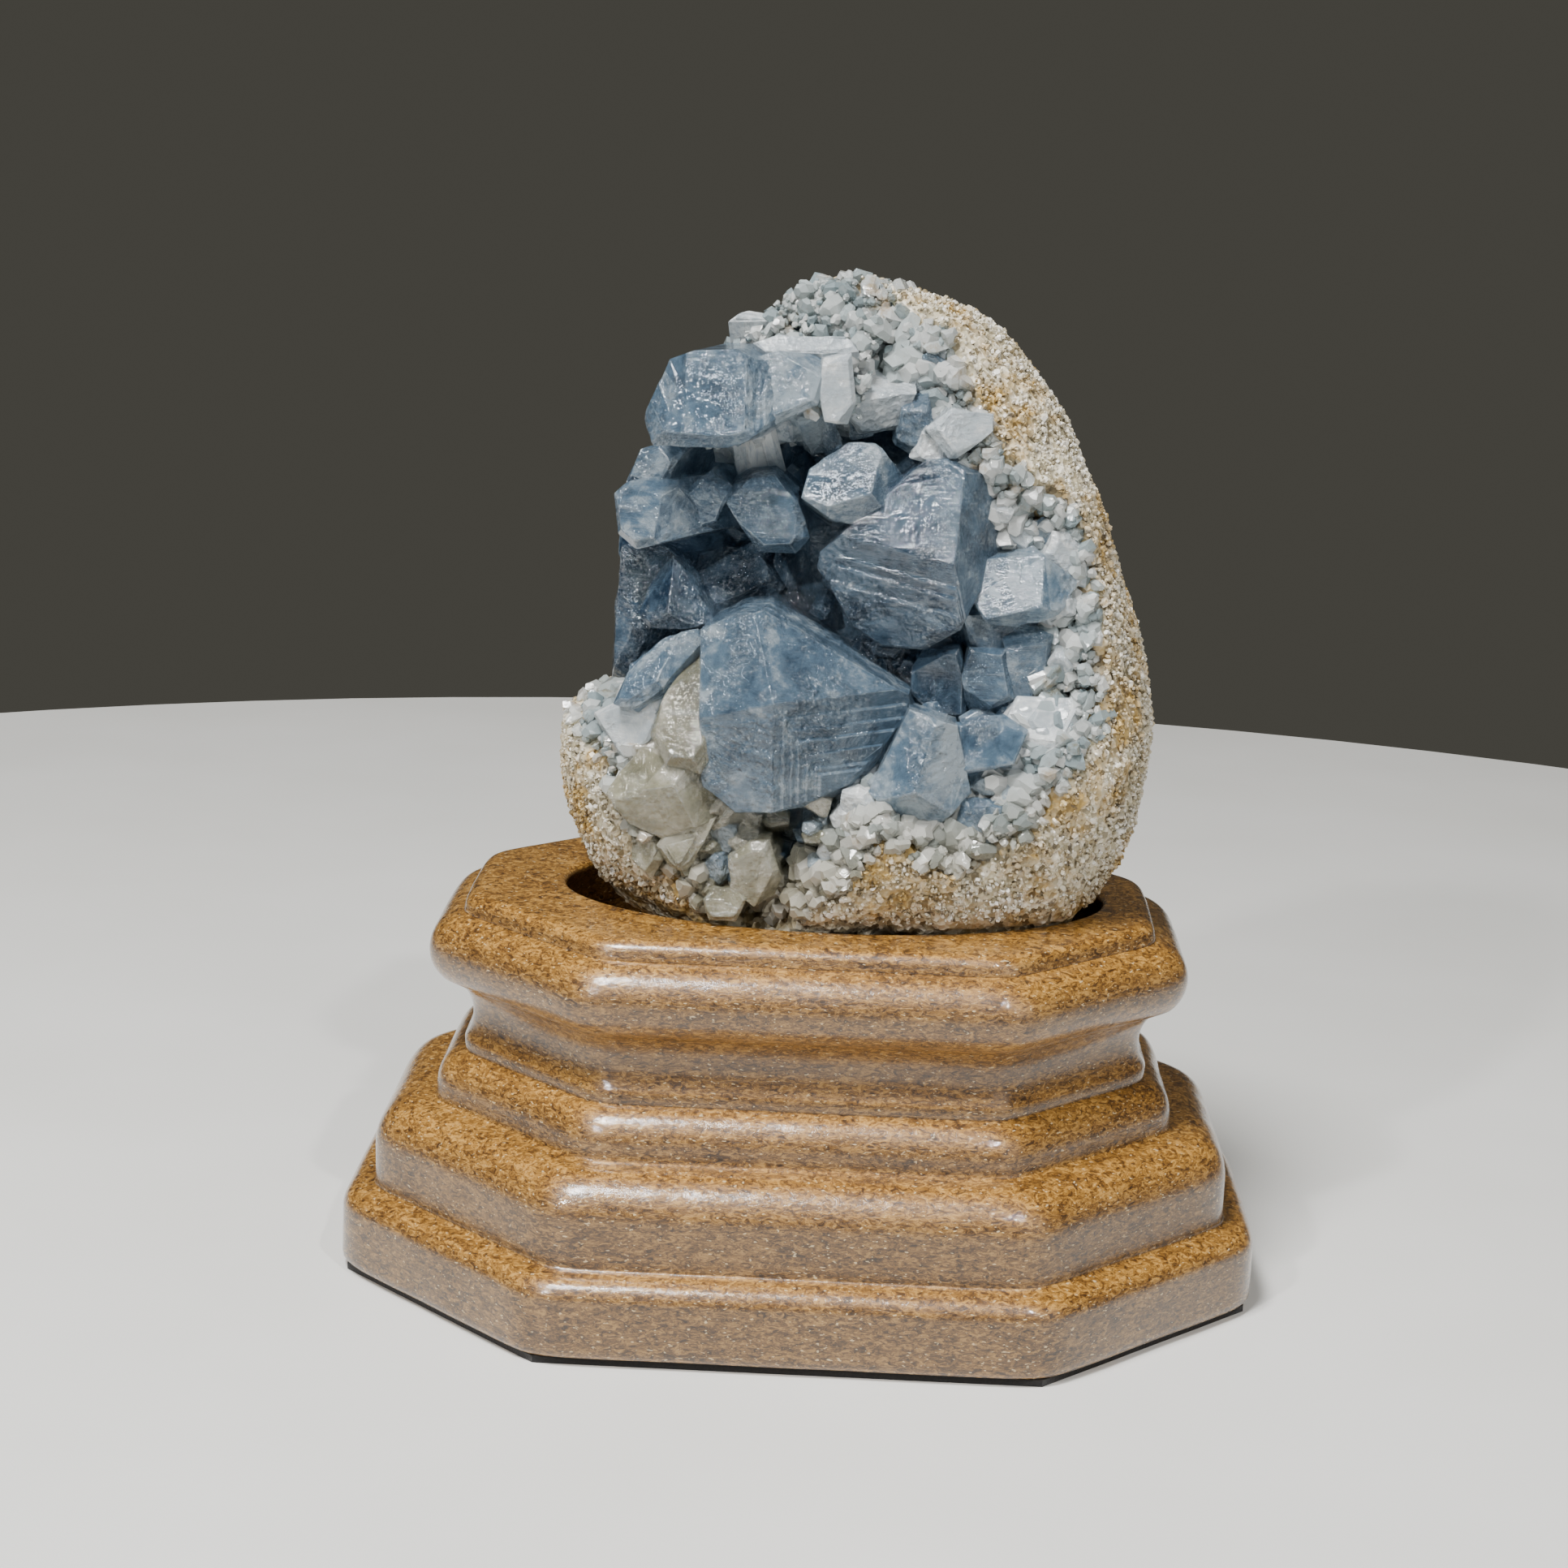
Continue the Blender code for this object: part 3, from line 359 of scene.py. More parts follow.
def grain_noise(points, cell, seed):
    """Grains: each point's distance to the nearest of a lattice's jittered seeds, and its value.

    The distance is in cells, from 0 at a grain's heart to about 1. The value is the grain's own.
    """
    place = points / cell
    corner = np.floor(place).astype(np.int64)
    nearest = np.full(points.shape[:-1], 9.0)
    value = np.zeros(points.shape[:-1])
    for step in np.ndindex(3, 3, 3):
        cube = corner + np.array(step) - 1
        jitter = np.stack([random_at(cube, seed + axis) for axis in range(3)], axis=-1)
        distance = np.linalg.norm(cube + jitter - place, axis=-1)
        value = np.where(distance < nearest, random_at(cube, seed + 7), value)
        nearest = np.minimum(nearest, distance)
    return nearest, value


# Meshes

def new_object(name, mesh, finish):
    """Put a mesh in the scene under a name, with its material."""
    thing = bpy.data.objects.new(name, mesh)
    bpy.context.scene.collection.objects.link(thing)
    if finish is not None:
        mesh.materials.append(finish)
    return thing


def mesh_from(name, points, faces):
    """A mesh from an array of points and an array, or a list of arrays, of faces."""
    mesh = bpy.data.meshes.new(name)
    faces = faces if isinstance(faces, list) else [faces]
    mesh.from_pydata(np.asarray(points).reshape(-1, 3).tolist(), [],
                     [f for group in faces for f in group.tolist()])
    mesh.update()
    return mesh


def read(items, name, width, kind=float):
    """A property of a mesh's points, faces or corners, as an array with a row for each."""
    values = np.empty(len(items) * width, dtype=kind)
    items.foreach_get(name, values)
    return values.reshape(-1, width)


def keep_attribute(mesh, name, values):
    """Store an array, one value or vector for each face corner, under a name."""
    kind = "FLOAT_VECTOR" if values.ndim == 2 else "FLOAT"
    kept = mesh.attributes.new(name, kind, "CORNER")
    kept.data.foreach_set("vector" if values.ndim == 2 else "value", values.ravel())


def round_grid(rows, columns):
    """Faces of a grid that is closed round its columns, and by fans at its first and last row.

    Points are counted row by row. The first row's and the last row's middle come after them.
    """
    low = np.arange((rows - 1) * columns).reshape(rows - 1, columns)
    beside = np.roll(low, -1, axis=1)
    quads = np.stack([low, beside, beside + columns, low + columns], axis=-1).reshape(-1, 4)
    first = np.arange(columns)
    last = first + (rows - 1) * columns
    start = rows * columns
    front = np.stack([np.roll(first, -1), first, np.full(columns, start)], axis=-1)
    back = np.stack([last, np.roll(last, -1), np.full(columns, start + 1)], axis=-1)
    return [quads, front, back]


def closed_surface(name, grid, finish, sharp=40):
    """A closed skin over a grid of points (rows, columns, xyz), round its columns.

    Both end rows are closed by fans to their own middle points. Faces are turned outwards.
    """
    rows, columns = grid.shape[:2]
    points = np.concatenate([grid.reshape(-1, 3), grid[:1].mean(axis=1), grid[-1:].mean(axis=1)])
    mesh = mesh_from(name, points, round_grid(rows, columns))
    face_out(mesh)
    mesh.shade_smooth()
    mesh.set_sharp_from_angle(angle=math.radians(sharp))
    return new_object(name, mesh, finish)


def face_out(mesh):
    """Turn a closed mesh's faces outwards."""
    sheet = bmesh.new()
    sheet.from_mesh(mesh)
    bmesh.ops.recalc_face_normals(sheet, faces=sheet.faces)
    sheet.to_mesh(mesh)
    sheet.free()


def finished(thing):
    """Apply an object's modifiers and keep the result as its mesh."""
    graph = bpy.context.evaluated_depsgraph_get()
    mesh = bpy.data.meshes.new_from_object(thing.evaluated_get(graph))
    thing.modifiers.clear()
    thing.data = mesh
    return thing


def combine(target, operation, others):
    """Join a closed mesh with others, or keep what it shares with one, and apply the result."""
    group = bpy.data.collections.new("operands")
    for other in others:
        group.objects.link(other)
    step = target.modifiers.new("Combine", "BOOLEAN")
    step.operation = operation
    step.solver = "MANIFOLD"
    step.operand_type = "COLLECTION"
    step.collection = group
    finished(target)
    for other in others:
        bpy.data.objects.remove(other, do_unlink=True)
    bpy.data.collections.remove(group)


# Materials

def linear(code):
    """Turn an sRGB hex colour into the linear colour, with alpha, that a shader takes."""
    channels = [int(code[i:i + 2], 16) / 255 for i in (1, 3, 5)]
    turned = [c / 12.92 if c <= 0.04045 else ((c + 0.055) / 1.055) ** 2.4 for c in channels]
    return (*turned, 1.0)


def feed(tree, made, inputs):
    """Give a node's inputs their values, or link the socket or node (its first output) that feeds
    them.
    """
    for key, value in inputs.items():
        if isinstance(value, bpy.types.Node):
            value = value.outputs[0]
        if isinstance(value, bpy.types.NodeSocket):
            tree.links.new(value, made.inputs[key])
        else:
            made.inputs[key].default_value = value


def node(tree, kind, inputs=None, stops=(), **settings):
    """Add a node with its settings and inputs, and with (place, hex) stops if it is a ramp."""
    made = tree.nodes.new("ShaderNode" + kind)
    for key, value in settings.items():
        setattr(made, key, value)
    feed(tree, made, inputs or {})
    for i, (place, code) in enumerate(stops):
        band = made.color_ramp.elements
        stop = band[i] if i < len(band) else band.new(place)
        stop.position = place
        stop.color = linear(code)
    return made


def new_material(name):
    """A node material, its tree and its Principled shader."""
    made = bpy.data.materials.new(name)
    made.use_nodes = True
    tree = made.node_tree
    return made, tree, tree.nodes["Principled BSDF"]


def per_mm(size):
    """Noise scale, in cells per metre, of a pattern of a size in mm."""
    return 1 / (size * MM)


def celestite(name, colours, clear, rough, absorb, density):
    """Celestite: glassy faces, etched and striped by growth, over a faintly milky body.

    Grown from solution in a geode: clear in its depth, with veils of trapped bubbles, cleavage
    cracks that show as pale threads, and etched patches that scatter light. Pale specks in the
    etched patches are partly frost and partly painted glints. Worn edges are painted pale, partly
    as rubbed wear and partly as painted highlight along the bevels. The tint is partly each
    crystal's own tone and partly painted light: painted shade on crystals that lie in shadow and
    painted light on those that face the light. Clear is the share of light that goes through, and
    absorb the colour that the depth leaves of it.
    """
    made, tree, shader = new_material(name)
    place = node(tree, "Attribute", attribute_name="own_place").outputs["Vector"]
    # Each crystal's tint: partly its own tone, partly painted shade and painted light for how it
    # lies to the light.
    tint = node(tree, "Attribute", attribute_name="tint").outputs["Fac"]
    rubbed_edge_and_highlight = node(tree, "Attribute", attribute_name="worn_edge").outputs["Fac"]
    pitted = node(tree, "Attribute", attribute_name="etched").outputs["Fac"]
    patch = node(tree, "TexNoise", {
        "Vector": place, "Scale": per_mm(4.5), "Detail": 5, "Roughness": 0.7})
    patch = node(tree, "MapRange", {"Value": patch, "From Min": 0.48, "From Max": 0.6})
    etched = node(tree, "Math", {0: pitted, 1: patch}, operation="MAXIMUM")
    veil = node(tree, "TexNoise", {
        "Vector": place, "Scale": per_mm(5), "Detail": 8, "Roughness": 0.72, "Distortion": 0.25})
    veil = node(tree, "MapRange", {
        "Value": veil, "From Min": 0.35, "From Max": 0.65, "To Min": 0.15, "To Max": 0.65})
    tone = node(tree, "Math", {0: tint, 1: 0.8, 2: veil}, operation="MULTIPLY_ADD")
    body = node(tree, "ValToRGB", {"Fac": tone}, zip(TONE_STEPS, colours))
    grit = node(tree, "TexNoise", {
        "Vector": place, "Scale": per_mm(0.7), "Detail": 3, "Roughness": 0.75})
    # Pale specks in etched patches: partly frost, partly painted glints.
    glitter = node(tree, "MapRange", {"Value": grit, "From Min": 0.54, "From Max": 0.66})
    frost_and_glitter = node(tree, "Math", {0: glitter, 1: etched}, operation="MULTIPLY")
    drawn_out = node(tree, "Mapping", {
        "Vector": place, "Rotation": (0, 0.1, 0.5), "Scale": (0.05, 1, 1)})
    growth_lines = node(tree, "TexNoise", {
        "Vector": drawn_out, "Scale": per_mm(0.7), "Detail": 4, "Roughness": 0.65})
    striped = node(tree, "TexNoise", {"Vector": place, "Scale": per_mm(9)})
    striped = node(tree, "MapRange", {"Value": striped, "From Min": 0.45, "From Max": 0.6})
    streak = node(tree, "MapRange", {
        "Value": growth_lines, "From Min": 0.55, "From Max": 0.65, "To Max": 0.55})
    streak = node(tree, "Math", {0: streak, 1: striped}, operation="MULTIPLY")
    crack = node(tree, "TexVoronoi", {
        "Vector": place, "Scale": per_mm(6)}, feature="DISTANCE_TO_EDGE")
    thread = node(tree, "MapRange", {
        "Value": crack, "From Max": 0.012, "To Min": 0.16, "To Max": 0.0})
    # Worn edges painted pale: partly rubbed wear, partly painted highlight along the bevels.
    rim = node(tree, "Math", {0: glitter, 1: 0.2}, operation="ADD")
    rim = node(tree, "Math", {0: rubbed_edge_and_highlight, 1: rim}, operation="MULTIPLY")
    paler = frost_and_glitter
    for other in (streak, thread, rim):
        paler = node(tree, "Math", {0: paler, 1: other}, operation="MAXIMUM")
    paler = node(tree, "Math", {0: paler, 1: 0.6}, operation="MULTIPLY")
    colour = node(tree, "MixRGB", {"Fac": paler, "Color1": body, "Color2": linear("#dbe5ea")})
    dull = node(tree, "Math", {0: paler, 1: 0.15, 2: rough}, operation="MULTIPLY_ADD")
    ridge = node(tree, "MapRange", {"Value": striped, "To Min": 0.25, "To Max": 1.0})
    lined = node(tree, "Bump", {
        "Height": growth_lines, "Strength": ridge, "Distance": 0.3 * MM})
    chips = node(tree, "TexVoronoi", {"Vector": place, "Scale": per_mm(0.9)})
    chipped = node(tree, "Math", {0: chips, 1: grit}, operation="ADD")
    depth = node(tree, "MapRange", {"Value": etched, "To Min": 0.1, "To Max": 0.9})
    pits = node(tree, "Bump", {
        "Height": chipped, "Distance": 0.35 * MM, "Strength": depth, "Normal": lined})
    volume = node(tree, "VolumeAbsorption", {"Color": linear(absorb), "Density": density})
    feed(tree, shader, {"Base Color": colour, "Roughness": dull, "Normal": pits,
                        "Transmission Weight": clear, "IOR": CELESTITE_INDEX})
    feed(tree, tree.nodes["Material Output"], {"Volume": volume})
    return made


def varnished_mdf():
    """Fibreboard, stained and varnished: millimetre fibres, dark flecks, thick gloss on top.

    The fibres lie level in the board, so flecks are drawn out along it on the upright sides.
    There the stain is painted darker and a little greyer, as painted shade from the light above.
    """
    made, tree, shader = new_material("varnished_mdf")
    place = node(tree, "TexCoord").outputs["Object"]
    upright = node(tree, "Attribute", attribute_name="upright").outputs["Fac"]
    lying = node(tree, "Mapping", {"Vector": place, "Scale": (1, 1, 2.5)})
    fibre = node(tree, "TexNoise", {
        "Vector": lying, "Scale": per_mm(1.5), "Detail": 4, "Roughness": 0.75, "Distortion": 1.2})
    cloud = node(tree, "TexNoise", {
        "Vector": place, "Scale": per_mm(12), "Detail": 4, "Roughness": 0.6})
    mixed = node(tree, "MixRGB", {"Fac": 0.15, "Color1": fibre, "Color2": cloud})
    lying_stain = node(tree, "ValToRGB", {"Fac": mixed}, zip(STAIN_STEPS, FLAT_STAIN))
    # The upright faces get the stain painted darker: painted shade, as the light falls from above.
    shaded_upright_stain = node(tree, "ValToRGB", {"Fac": mixed}, zip(STAIN_STEPS, UPRIGHT_STAIN_SHADED))
    colour = node(tree, "MixRGB", {
        "Fac": upright, "Color1": lying_stain, "Color2": shaded_upright_stain})
    fleck = node(tree, "TexNoise", {
        "Vector": lying, "Scale": per_mm(1.7), "Detail": 3, "Roughness": 0.6, "Distortion": 2.0})
    dark = node(tree, "MapRange", {
        "Value": fleck, "From Min": 0.56, "From Max": 0.66, "To Max": 0.75})
    colour = node(tree, "MixRGB", {"Fac": dark, "Color1": colour, "Color2": linear("#37220f")})
    lint = node(tree, "TexNoise", {"Vector": lying, "Scale": per_mm(0.8), "Detail": 1})
    pale = node(tree, "MapRange", {
        "Value": lint, "From Min": 0.68, "From Max": 0.74, "To Max": 0.6})
    colour = node(tree, "MixRGB", {"Fac": pale, "Color1": colour, "Color2": linear("#d9c49a")})
    relief = node(tree, "Bump", {"Height": fibre, "Strength": 0.5, "Distance": 0.2 * MM})
    gloss = node(tree, "Bump", {"Height": fibre, "Strength": 0.35, "Distance": 0.12 * MM})
    feed(tree, shader, {"Base Color": colour, "Roughness": 0.42, "Normal": relief,
                        "Coat Weight": 1.0, "Coat Roughness": 0.05, "Coat Normal": gloss})
    return made


def rind_stone():
    """Weathered rind: sugary celestite grains in cream marl, stained ochre by iron."""
    made, tree, shader = new_material("weathered_rind")
    place = node(tree, "TexCoord").outputs["Object"]
    grain = node(tree, "TexVoronoi", {"Vector": place, "Scale": per_mm(1.0)})
    tone = node(tree, "SeparateColor", {"Color": grain.outputs["Color"]})
    colour = node(tree, "ValToRGB", {"Fac": tone}, (
        (0.0, "#6b624c"), (0.15, "#9b9075"), (0.45, "#bdb397"), (0.85, "#d6cebb")))
    relief = node(tree, "Bump", {"Height": grain, "Strength": 0.8, "Distance": 0.5 * MM})
    feed(tree, shader, {"Base Color": stain(tree, place, colour), "Normal": relief,
                        "Roughness": 0.6})
    return made


def stain(tree, place, colour):
    """Iron stain in patches of about 1 cm, and brown and black specks, over a colour."""
    patch = node(tree, "TexNoise", {
        "Vector": place, "Scale": per_mm(11), "Detail": 6, "Roughness": 0.7})
    rusty = node(tree, "MapRange", {
        "Value": patch, "From Min": 0.46, "From Max": 0.6, "To Max": 0.95})
    stained = node(tree, "MixRGB", {
        "Fac": rusty, "Color1": colour, "Color2": linear("#e0c078")}, blend_type="MULTIPLY")
    speck = node(tree, "TexNoise", {"Vector": place, "Scale": per_mm(1.1), "Detail": 2})
    dark = node(tree, "MapRange", {
        "Value": speck, "From Min": 0.6, "From Max": 0.68, "To Max": 0.8})
    return node(tree, "MixRGB", {"Fac": dark, "Color1": stained, "Color2": linear("#4b3f2e")})


def sugar():
    """Sugary grains: milky celestite broken small, white to cream, stained where the rind is."""
    made, tree, shader = new_material("sugary_celestite")
    place = node(tree, "TexCoord").outputs["Object"]
    tint = node(tree, "Attribute", attribute_name="tint").outputs["Fac"]
    colour = node(tree, "ValToRGB", {"Fac": tint}, (
        (0.0, "#857a60"), (0.12, "#aba084"), (0.4, "#c6bda5"), (0.7, "#d6cfbd"),
        (0.95, "#e9e6dd")))
    feed(tree, shader, {"Base Color": stain(tree, place, colour), "Roughness": 0.35,
                        "Transmission Weight": 0.15, "IOR": CELESTITE_INDEX})
    return made


def druse():
    """Druse: small milky crystals, white to greenish grey, dusted and stained in places."""
    made, tree, shader = new_material("milky_druse")
    place = node(tree, "TexCoord").outputs["Object"]
    tint = node(tree, "Attribute", attribute_name="tint").outputs["Fac"]
    height = node(tree, "SeparateXYZ", {"Vector": place}).outputs["Z"]
    upper = node(tree, "MapRange", {"Value": height, "From Min": 66 * MM, "From Max": 84 * MM})
    low_colour = node(tree, "ValToRGB", {"Fac": tint}, (
        (0.0, "#8a8773"), (0.4, "#c6c0aa"), (0.8, "#e6e2d4")))
    high_colour = node(tree, "ValToRGB", {"Fac": tint}, (
        (0.0, "#a7b8bc"), (0.4, "#d6dfde"), (0.8, "#f5f7f4")))
    colour = node(tree, "MixRGB", {"Fac": upper, "Color1": low_colour, "Color2": high_colour})
    patch = node(tree, "TexNoise", {
        "Vector": place, "Scale": per_mm(9), "Detail": 6, "Roughness": 0.7})
    rusty = node(tree, "MapRange", {
        "Value": patch, "From Min": 0.56, "From Max": 0.66, "To Max": 0.7})
    stained = node(tree, "MixRGB", {
        "Fac": rusty, "Color1": colour, "Color2": linear("#cda35c")}, blend_type="MULTIPLY")
    own = node(tree, "Attribute", attribute_name="own_place").outputs["Vector"]
    grit = node(tree, "TexNoise", {"Vector": own, "Scale": per_mm(0.6), "Detail": 3})
    relief = node(tree, "Bump", {"Height": grit, "Strength": 0.3, "Distance": 0.3 * MM})
    feed(tree, shader, {"Base Color": stained, "Normal": relief, "Roughness": 0.08,
                        "Transmission Weight": 0.6, "IOR": CELESTITE_INDEX})
    return made


def black_felt():
    """Thin matt sheet under the base, near black, with a fine fuzz."""
    made, tree, shader = new_material("black_felt")
    place = node(tree, "TexCoord").outputs["Object"]
    fuzz = node(tree, "TexNoise", {"Vector": place, "Scale": per_mm(0.4), "Detail": 3})
    colour = node(tree, "ValToRGB", {"Fac": fuzz}, ((0.3, "#0d0c0c"), (0.7, "#1d1b1a")))
    relief = node(tree, "Bump", {"Height": fuzz, "Strength": 0.5, "Distance": 0.2 * MM})
    feed(tree, shader, {"Base Color": colour, "Normal": relief, "Roughness": 0.95,
                        "Sheen Weight": 0.3})
    return made


# Base

def arc(centre, radii, start, end, steps):
    """Points of an elliptic arc in (inset, height), angles in degrees, 0 is inward, 90 is up."""
    turn = np.radians(np.linspace(start, end, steps + 1))
    return np.stack([centre[0] + radii[0] * np.cos(turn), centre[1] + radii[1] * np.sin(turn)], -1)


def routed_profile():
    """The routed side of the base from foot to top, as (inset, height above the foot) in mm."""
    return np.concatenate([
        [(1.2, 0.0), (0.4, 0.15), (0.05, 0.7), (0.0, 1.5), (0.0, 5.0)],
        arc((3.2, 8.3), (3.2, 3.2), 180, 90, 10),
        [(4.5, 11.58), (4.8, 11.9), (4.8, 12.4), (4.8, 15.0)],
        arc((11.3, 18.5), (6.5, 6.5), 180, 90, 14),
        [(12.9, 25.02), (13.4, 25.15), (13.6, 25.6)],
        arc((18.6, 27.0), (5.0, 5.4), 180, 100, 10),
        arc((14.6, 38.0), (4.2, 5.6), -45, 60, 12),
        arc((18.0, 48.4), (5.8, 5.8), 225, 98, 18),
        [(17.15, 54.35), (17.3, 54.7)],
        arc((20.0, 55.0), (2.6, 2.0), 180, 90, 8)[1:],
    ])


def octagon_reach(turn, inset):
    """Distance from the base's middle to its outline, at an angle, moved in by an inset.

    The nearest of the eight sides along the angle, blended by a power mean that rounds corners.
    """
    corner = (BASE_WIDTH / 2 + BASE_DEPTH / 2 - CORNER_LEG) / math.sqrt(2)
    total = 0
    for side in range(8):
        facing = side * math.pi / 4
        reach = corner if side % 2 else (BASE_DEPTH / 2 if side % 4 == 2 else BASE_WIDTH / 2)
        share = np.maximum(np.cos(turn - facing), 0) / (reach - inset)
        total = total + share ** CORNER_SHARPNESS
    return total ** (-1 / CORNER_SHARPNESS)


def make_base(finish):
    """The base as one skin: its outline carried up the routed profile, over the top, and down
    the oval pocket.

    A point is given by the angle round the base and by how far it has come along the profile.
    On the top, the octagon is blended into the pocket's ellipse. Noise of 9 mm and 4 mm is the
    unevenness of the sanding. The columns of points crowd at the octagon's corners. The skin
    keeps how upright its faces are, so that the material can paint those faces darker, as painted
    shade.
    """
    turn = np.linspace(0, 2 * np.pi, 320, endpoint=False)
    turn = turn + 0.028 * np.sin(8 * turn)
    way = np.stack([np.cos(turn), np.sin(turn)], axis=-1)
    profile = routed_profile() * MM
    rows = []

    def add_row(outline, height):
        rows.append(np.concatenate([outline, np.full((len(turn), 1), height)], axis=1))

    def oval(grow):
        half = (POCKET_WIDTH / 2 + grow, POCKET_DEPTH / 2 + grow)
        return way * half + (POCKET_X, 0)

    for share in np.linspace(0.1, 0.97, 6):
        add_row(way * octagon_reach(turn, profile[0, 0])[:, None] * share, WOOD_FOOT)
    for inset, height in profile:
        add_row(way * octagon_reach(turn, inset)[:, None], WOOD_FOOT + height)
    edge = way * octagon_reach(turn, profile[-1, 0])[:, None]
    for share in np.linspace(0, 1, 8)[1:]:
        add_row(edge * (1 - share) + oval(POCKET_LIP) * share, BASE_TOP)
    for dip in np.radians(np.linspace(0, 90, 6)[1:]):
        add_row(oval(POCKET_LIP * (1 - np.sin(dip))), BASE_TOP - POCKET_LIP * (1 - np.cos(dip)))
    for height in np.linspace(BASE_TOP - 2 * POCKET_LIP, POCKET_FLOOR, 5):
        add_row(oval(0), height)
    for share in np.linspace(0.9, 0.1, 5):
        add_row((oval(0) - (POCKET_X, 0)) * share + (POCKET_X, 0), POCKET_FLOOR)
    grid = np.array(rows)
    outer = (grid[..., 2:] > WOOD_FOOT + 0.1 * MM) & (grid[..., 2:] < BASE_TOP - 0.1 * MM)
    wobble = soft_noise(grid, 9 * MM, 3) + 0.5 * soft_noise(grid, 4 * MM, 4)
    sideways = np.concatenate([np.broadcast_to(way, grid[..., :2].shape),
                               np.zeros(grid.shape[:2] + (1,))], axis=-1)
    grid = grid + sideways * wobble[..., None] * SANDING * outer
    base = closed_surface("routed_base", grid, finish, 50)
    faces = base.data.polygons
    steep = np.clip(1.15 - 1.4 * np.abs(read(faces, "normal", 3)[:, 2]), 0, 1)
    corners = read(faces, "loop_total", 1, np.int32).ravel()
    keep_attribute(base.data, "upright", np.repeat(steep, corners))
    return base


# Egg and rind

def direction(azimuth, elevation):
    """Unit vectors from azimuths (0 to the front, 90 to the right) and elevations in degrees."""
    a = np.radians(azimuth)
    e = np.radians(elevation)
    return np.stack([np.sin(a) * np.cos(e), -np.cos(a) * np.cos(e), np.sin(e) + 0 * a], axis=-1)


def axes(azimuth, elevation):
    """Right, up and ahead of something that faces along an azimuth and elevation."""
    ahead = direction(azimuth, elevation)
    right = direction(azimuth + 90, 0)
    return right, np.cross(ahead, right), ahead


def egg_radius(ray):
    """Distance from the egg's middle to its outer face along rays.

    A super-ellipsoid, narrowed towards the top, with slow sine lumps and a fuller lower left.
    """
    x, y, z = ray[..., 0], ray[..., 1], ray[..., 2]
    narrow = 1 - EGG_TAPER * z
    tall = np.where(z > 0, EGG_ABOVE, EGG_BELOW)
    total = (np.abs(x / (EGG_HALF_WIDTH * narrow)) ** EGG_SQUARENESS
             + np.abs(y / (EGG_HALF_DEPTH * narrow)) ** EGG_SQUARENESS
             + np.abs(z / tall) ** EGG_SQUARENESS)
    radius = total ** (-1 / EGG_SQUARENESS)
    radius = radius + 2.5 * MM * np.exp(-(1 + 0.8 * x + 0.6 * z) / 0.1)
    lumps = (np.sin(7 * x + 3 * z) * np.sin(6 * y - 4 * z)
             + 0.6 * np.sin(11 * z + 9 * y) * np.sin(13 * x))
    return radius + LUMP_HEIGHT * lumps


def cavity_radius(ray):
    """Distance to the inner face of the rind."""
    return egg_radius(ray) - RIND_WALL


def mouth_edge(turn):
    """Half-angle of the opening at angles round it, in radians, eased between the listed ones."""
    angles, edges = np.radians(np.array(MOUTH_EDGE)).T
    span = np.clip(np.searchsorted(angles, turn, side="right") - 1, 0, len(angles) - 2)
    share = (turn - angles[span]) / (angles[span + 1] - angles[span])
    share = np.clip(share, 0, 1)
    eased = share * share * (3 - 2 * share)
    return edges[span] + (edges[span + 1] - edges[span]) * eased


def ray_at(tilt, turn):
    """Rays at angles from the opening's axis and angles round it."""
    right, up, ahead = axes(MOUTH_AZIMUTH, MOUTH_ELEVATION)
    tilt = np.asarray(tilt)[..., None]
    turn = np.asarray(turn)[..., None]
    side = right * np.cos(turn) + up * np.sin(turn)
    return ahead * np.cos(tilt) + side * np.sin(tilt)


def angles_of(ray):
    """The angles of rays from the opening's axis and round it: ray_at the other way."""
    right, up, ahead = axes(MOUTH_AZIMUTH, MOUTH_ELEVATION)
    return np.arccos(np.clip(ray @ ahead, -1, 1)), np.arctan2(ray @ up, ray @ right)


def keep_in_pocket(points, play):
    """Push points that are below the top of the base into its pocket, and up to its floor."""
    x, y, z = points[..., 0] - POCKET_X, points[..., 1], points[..., 2]
    half_width = POCKET_WIDTH / 2 - play
    half_depth = POCKET_DEPTH / 2 - play
    out = np.hypot(x / half_width, y / half_depth)
    low = z < BASE_TOP + play
    shrink = np.where(low & (out > 1), out, 1)
    z = np.maximum(z, POCKET_FLOOR + play)
    return np.stack([x / shrink + POCKET_X, y / shrink, z], axis=-1)


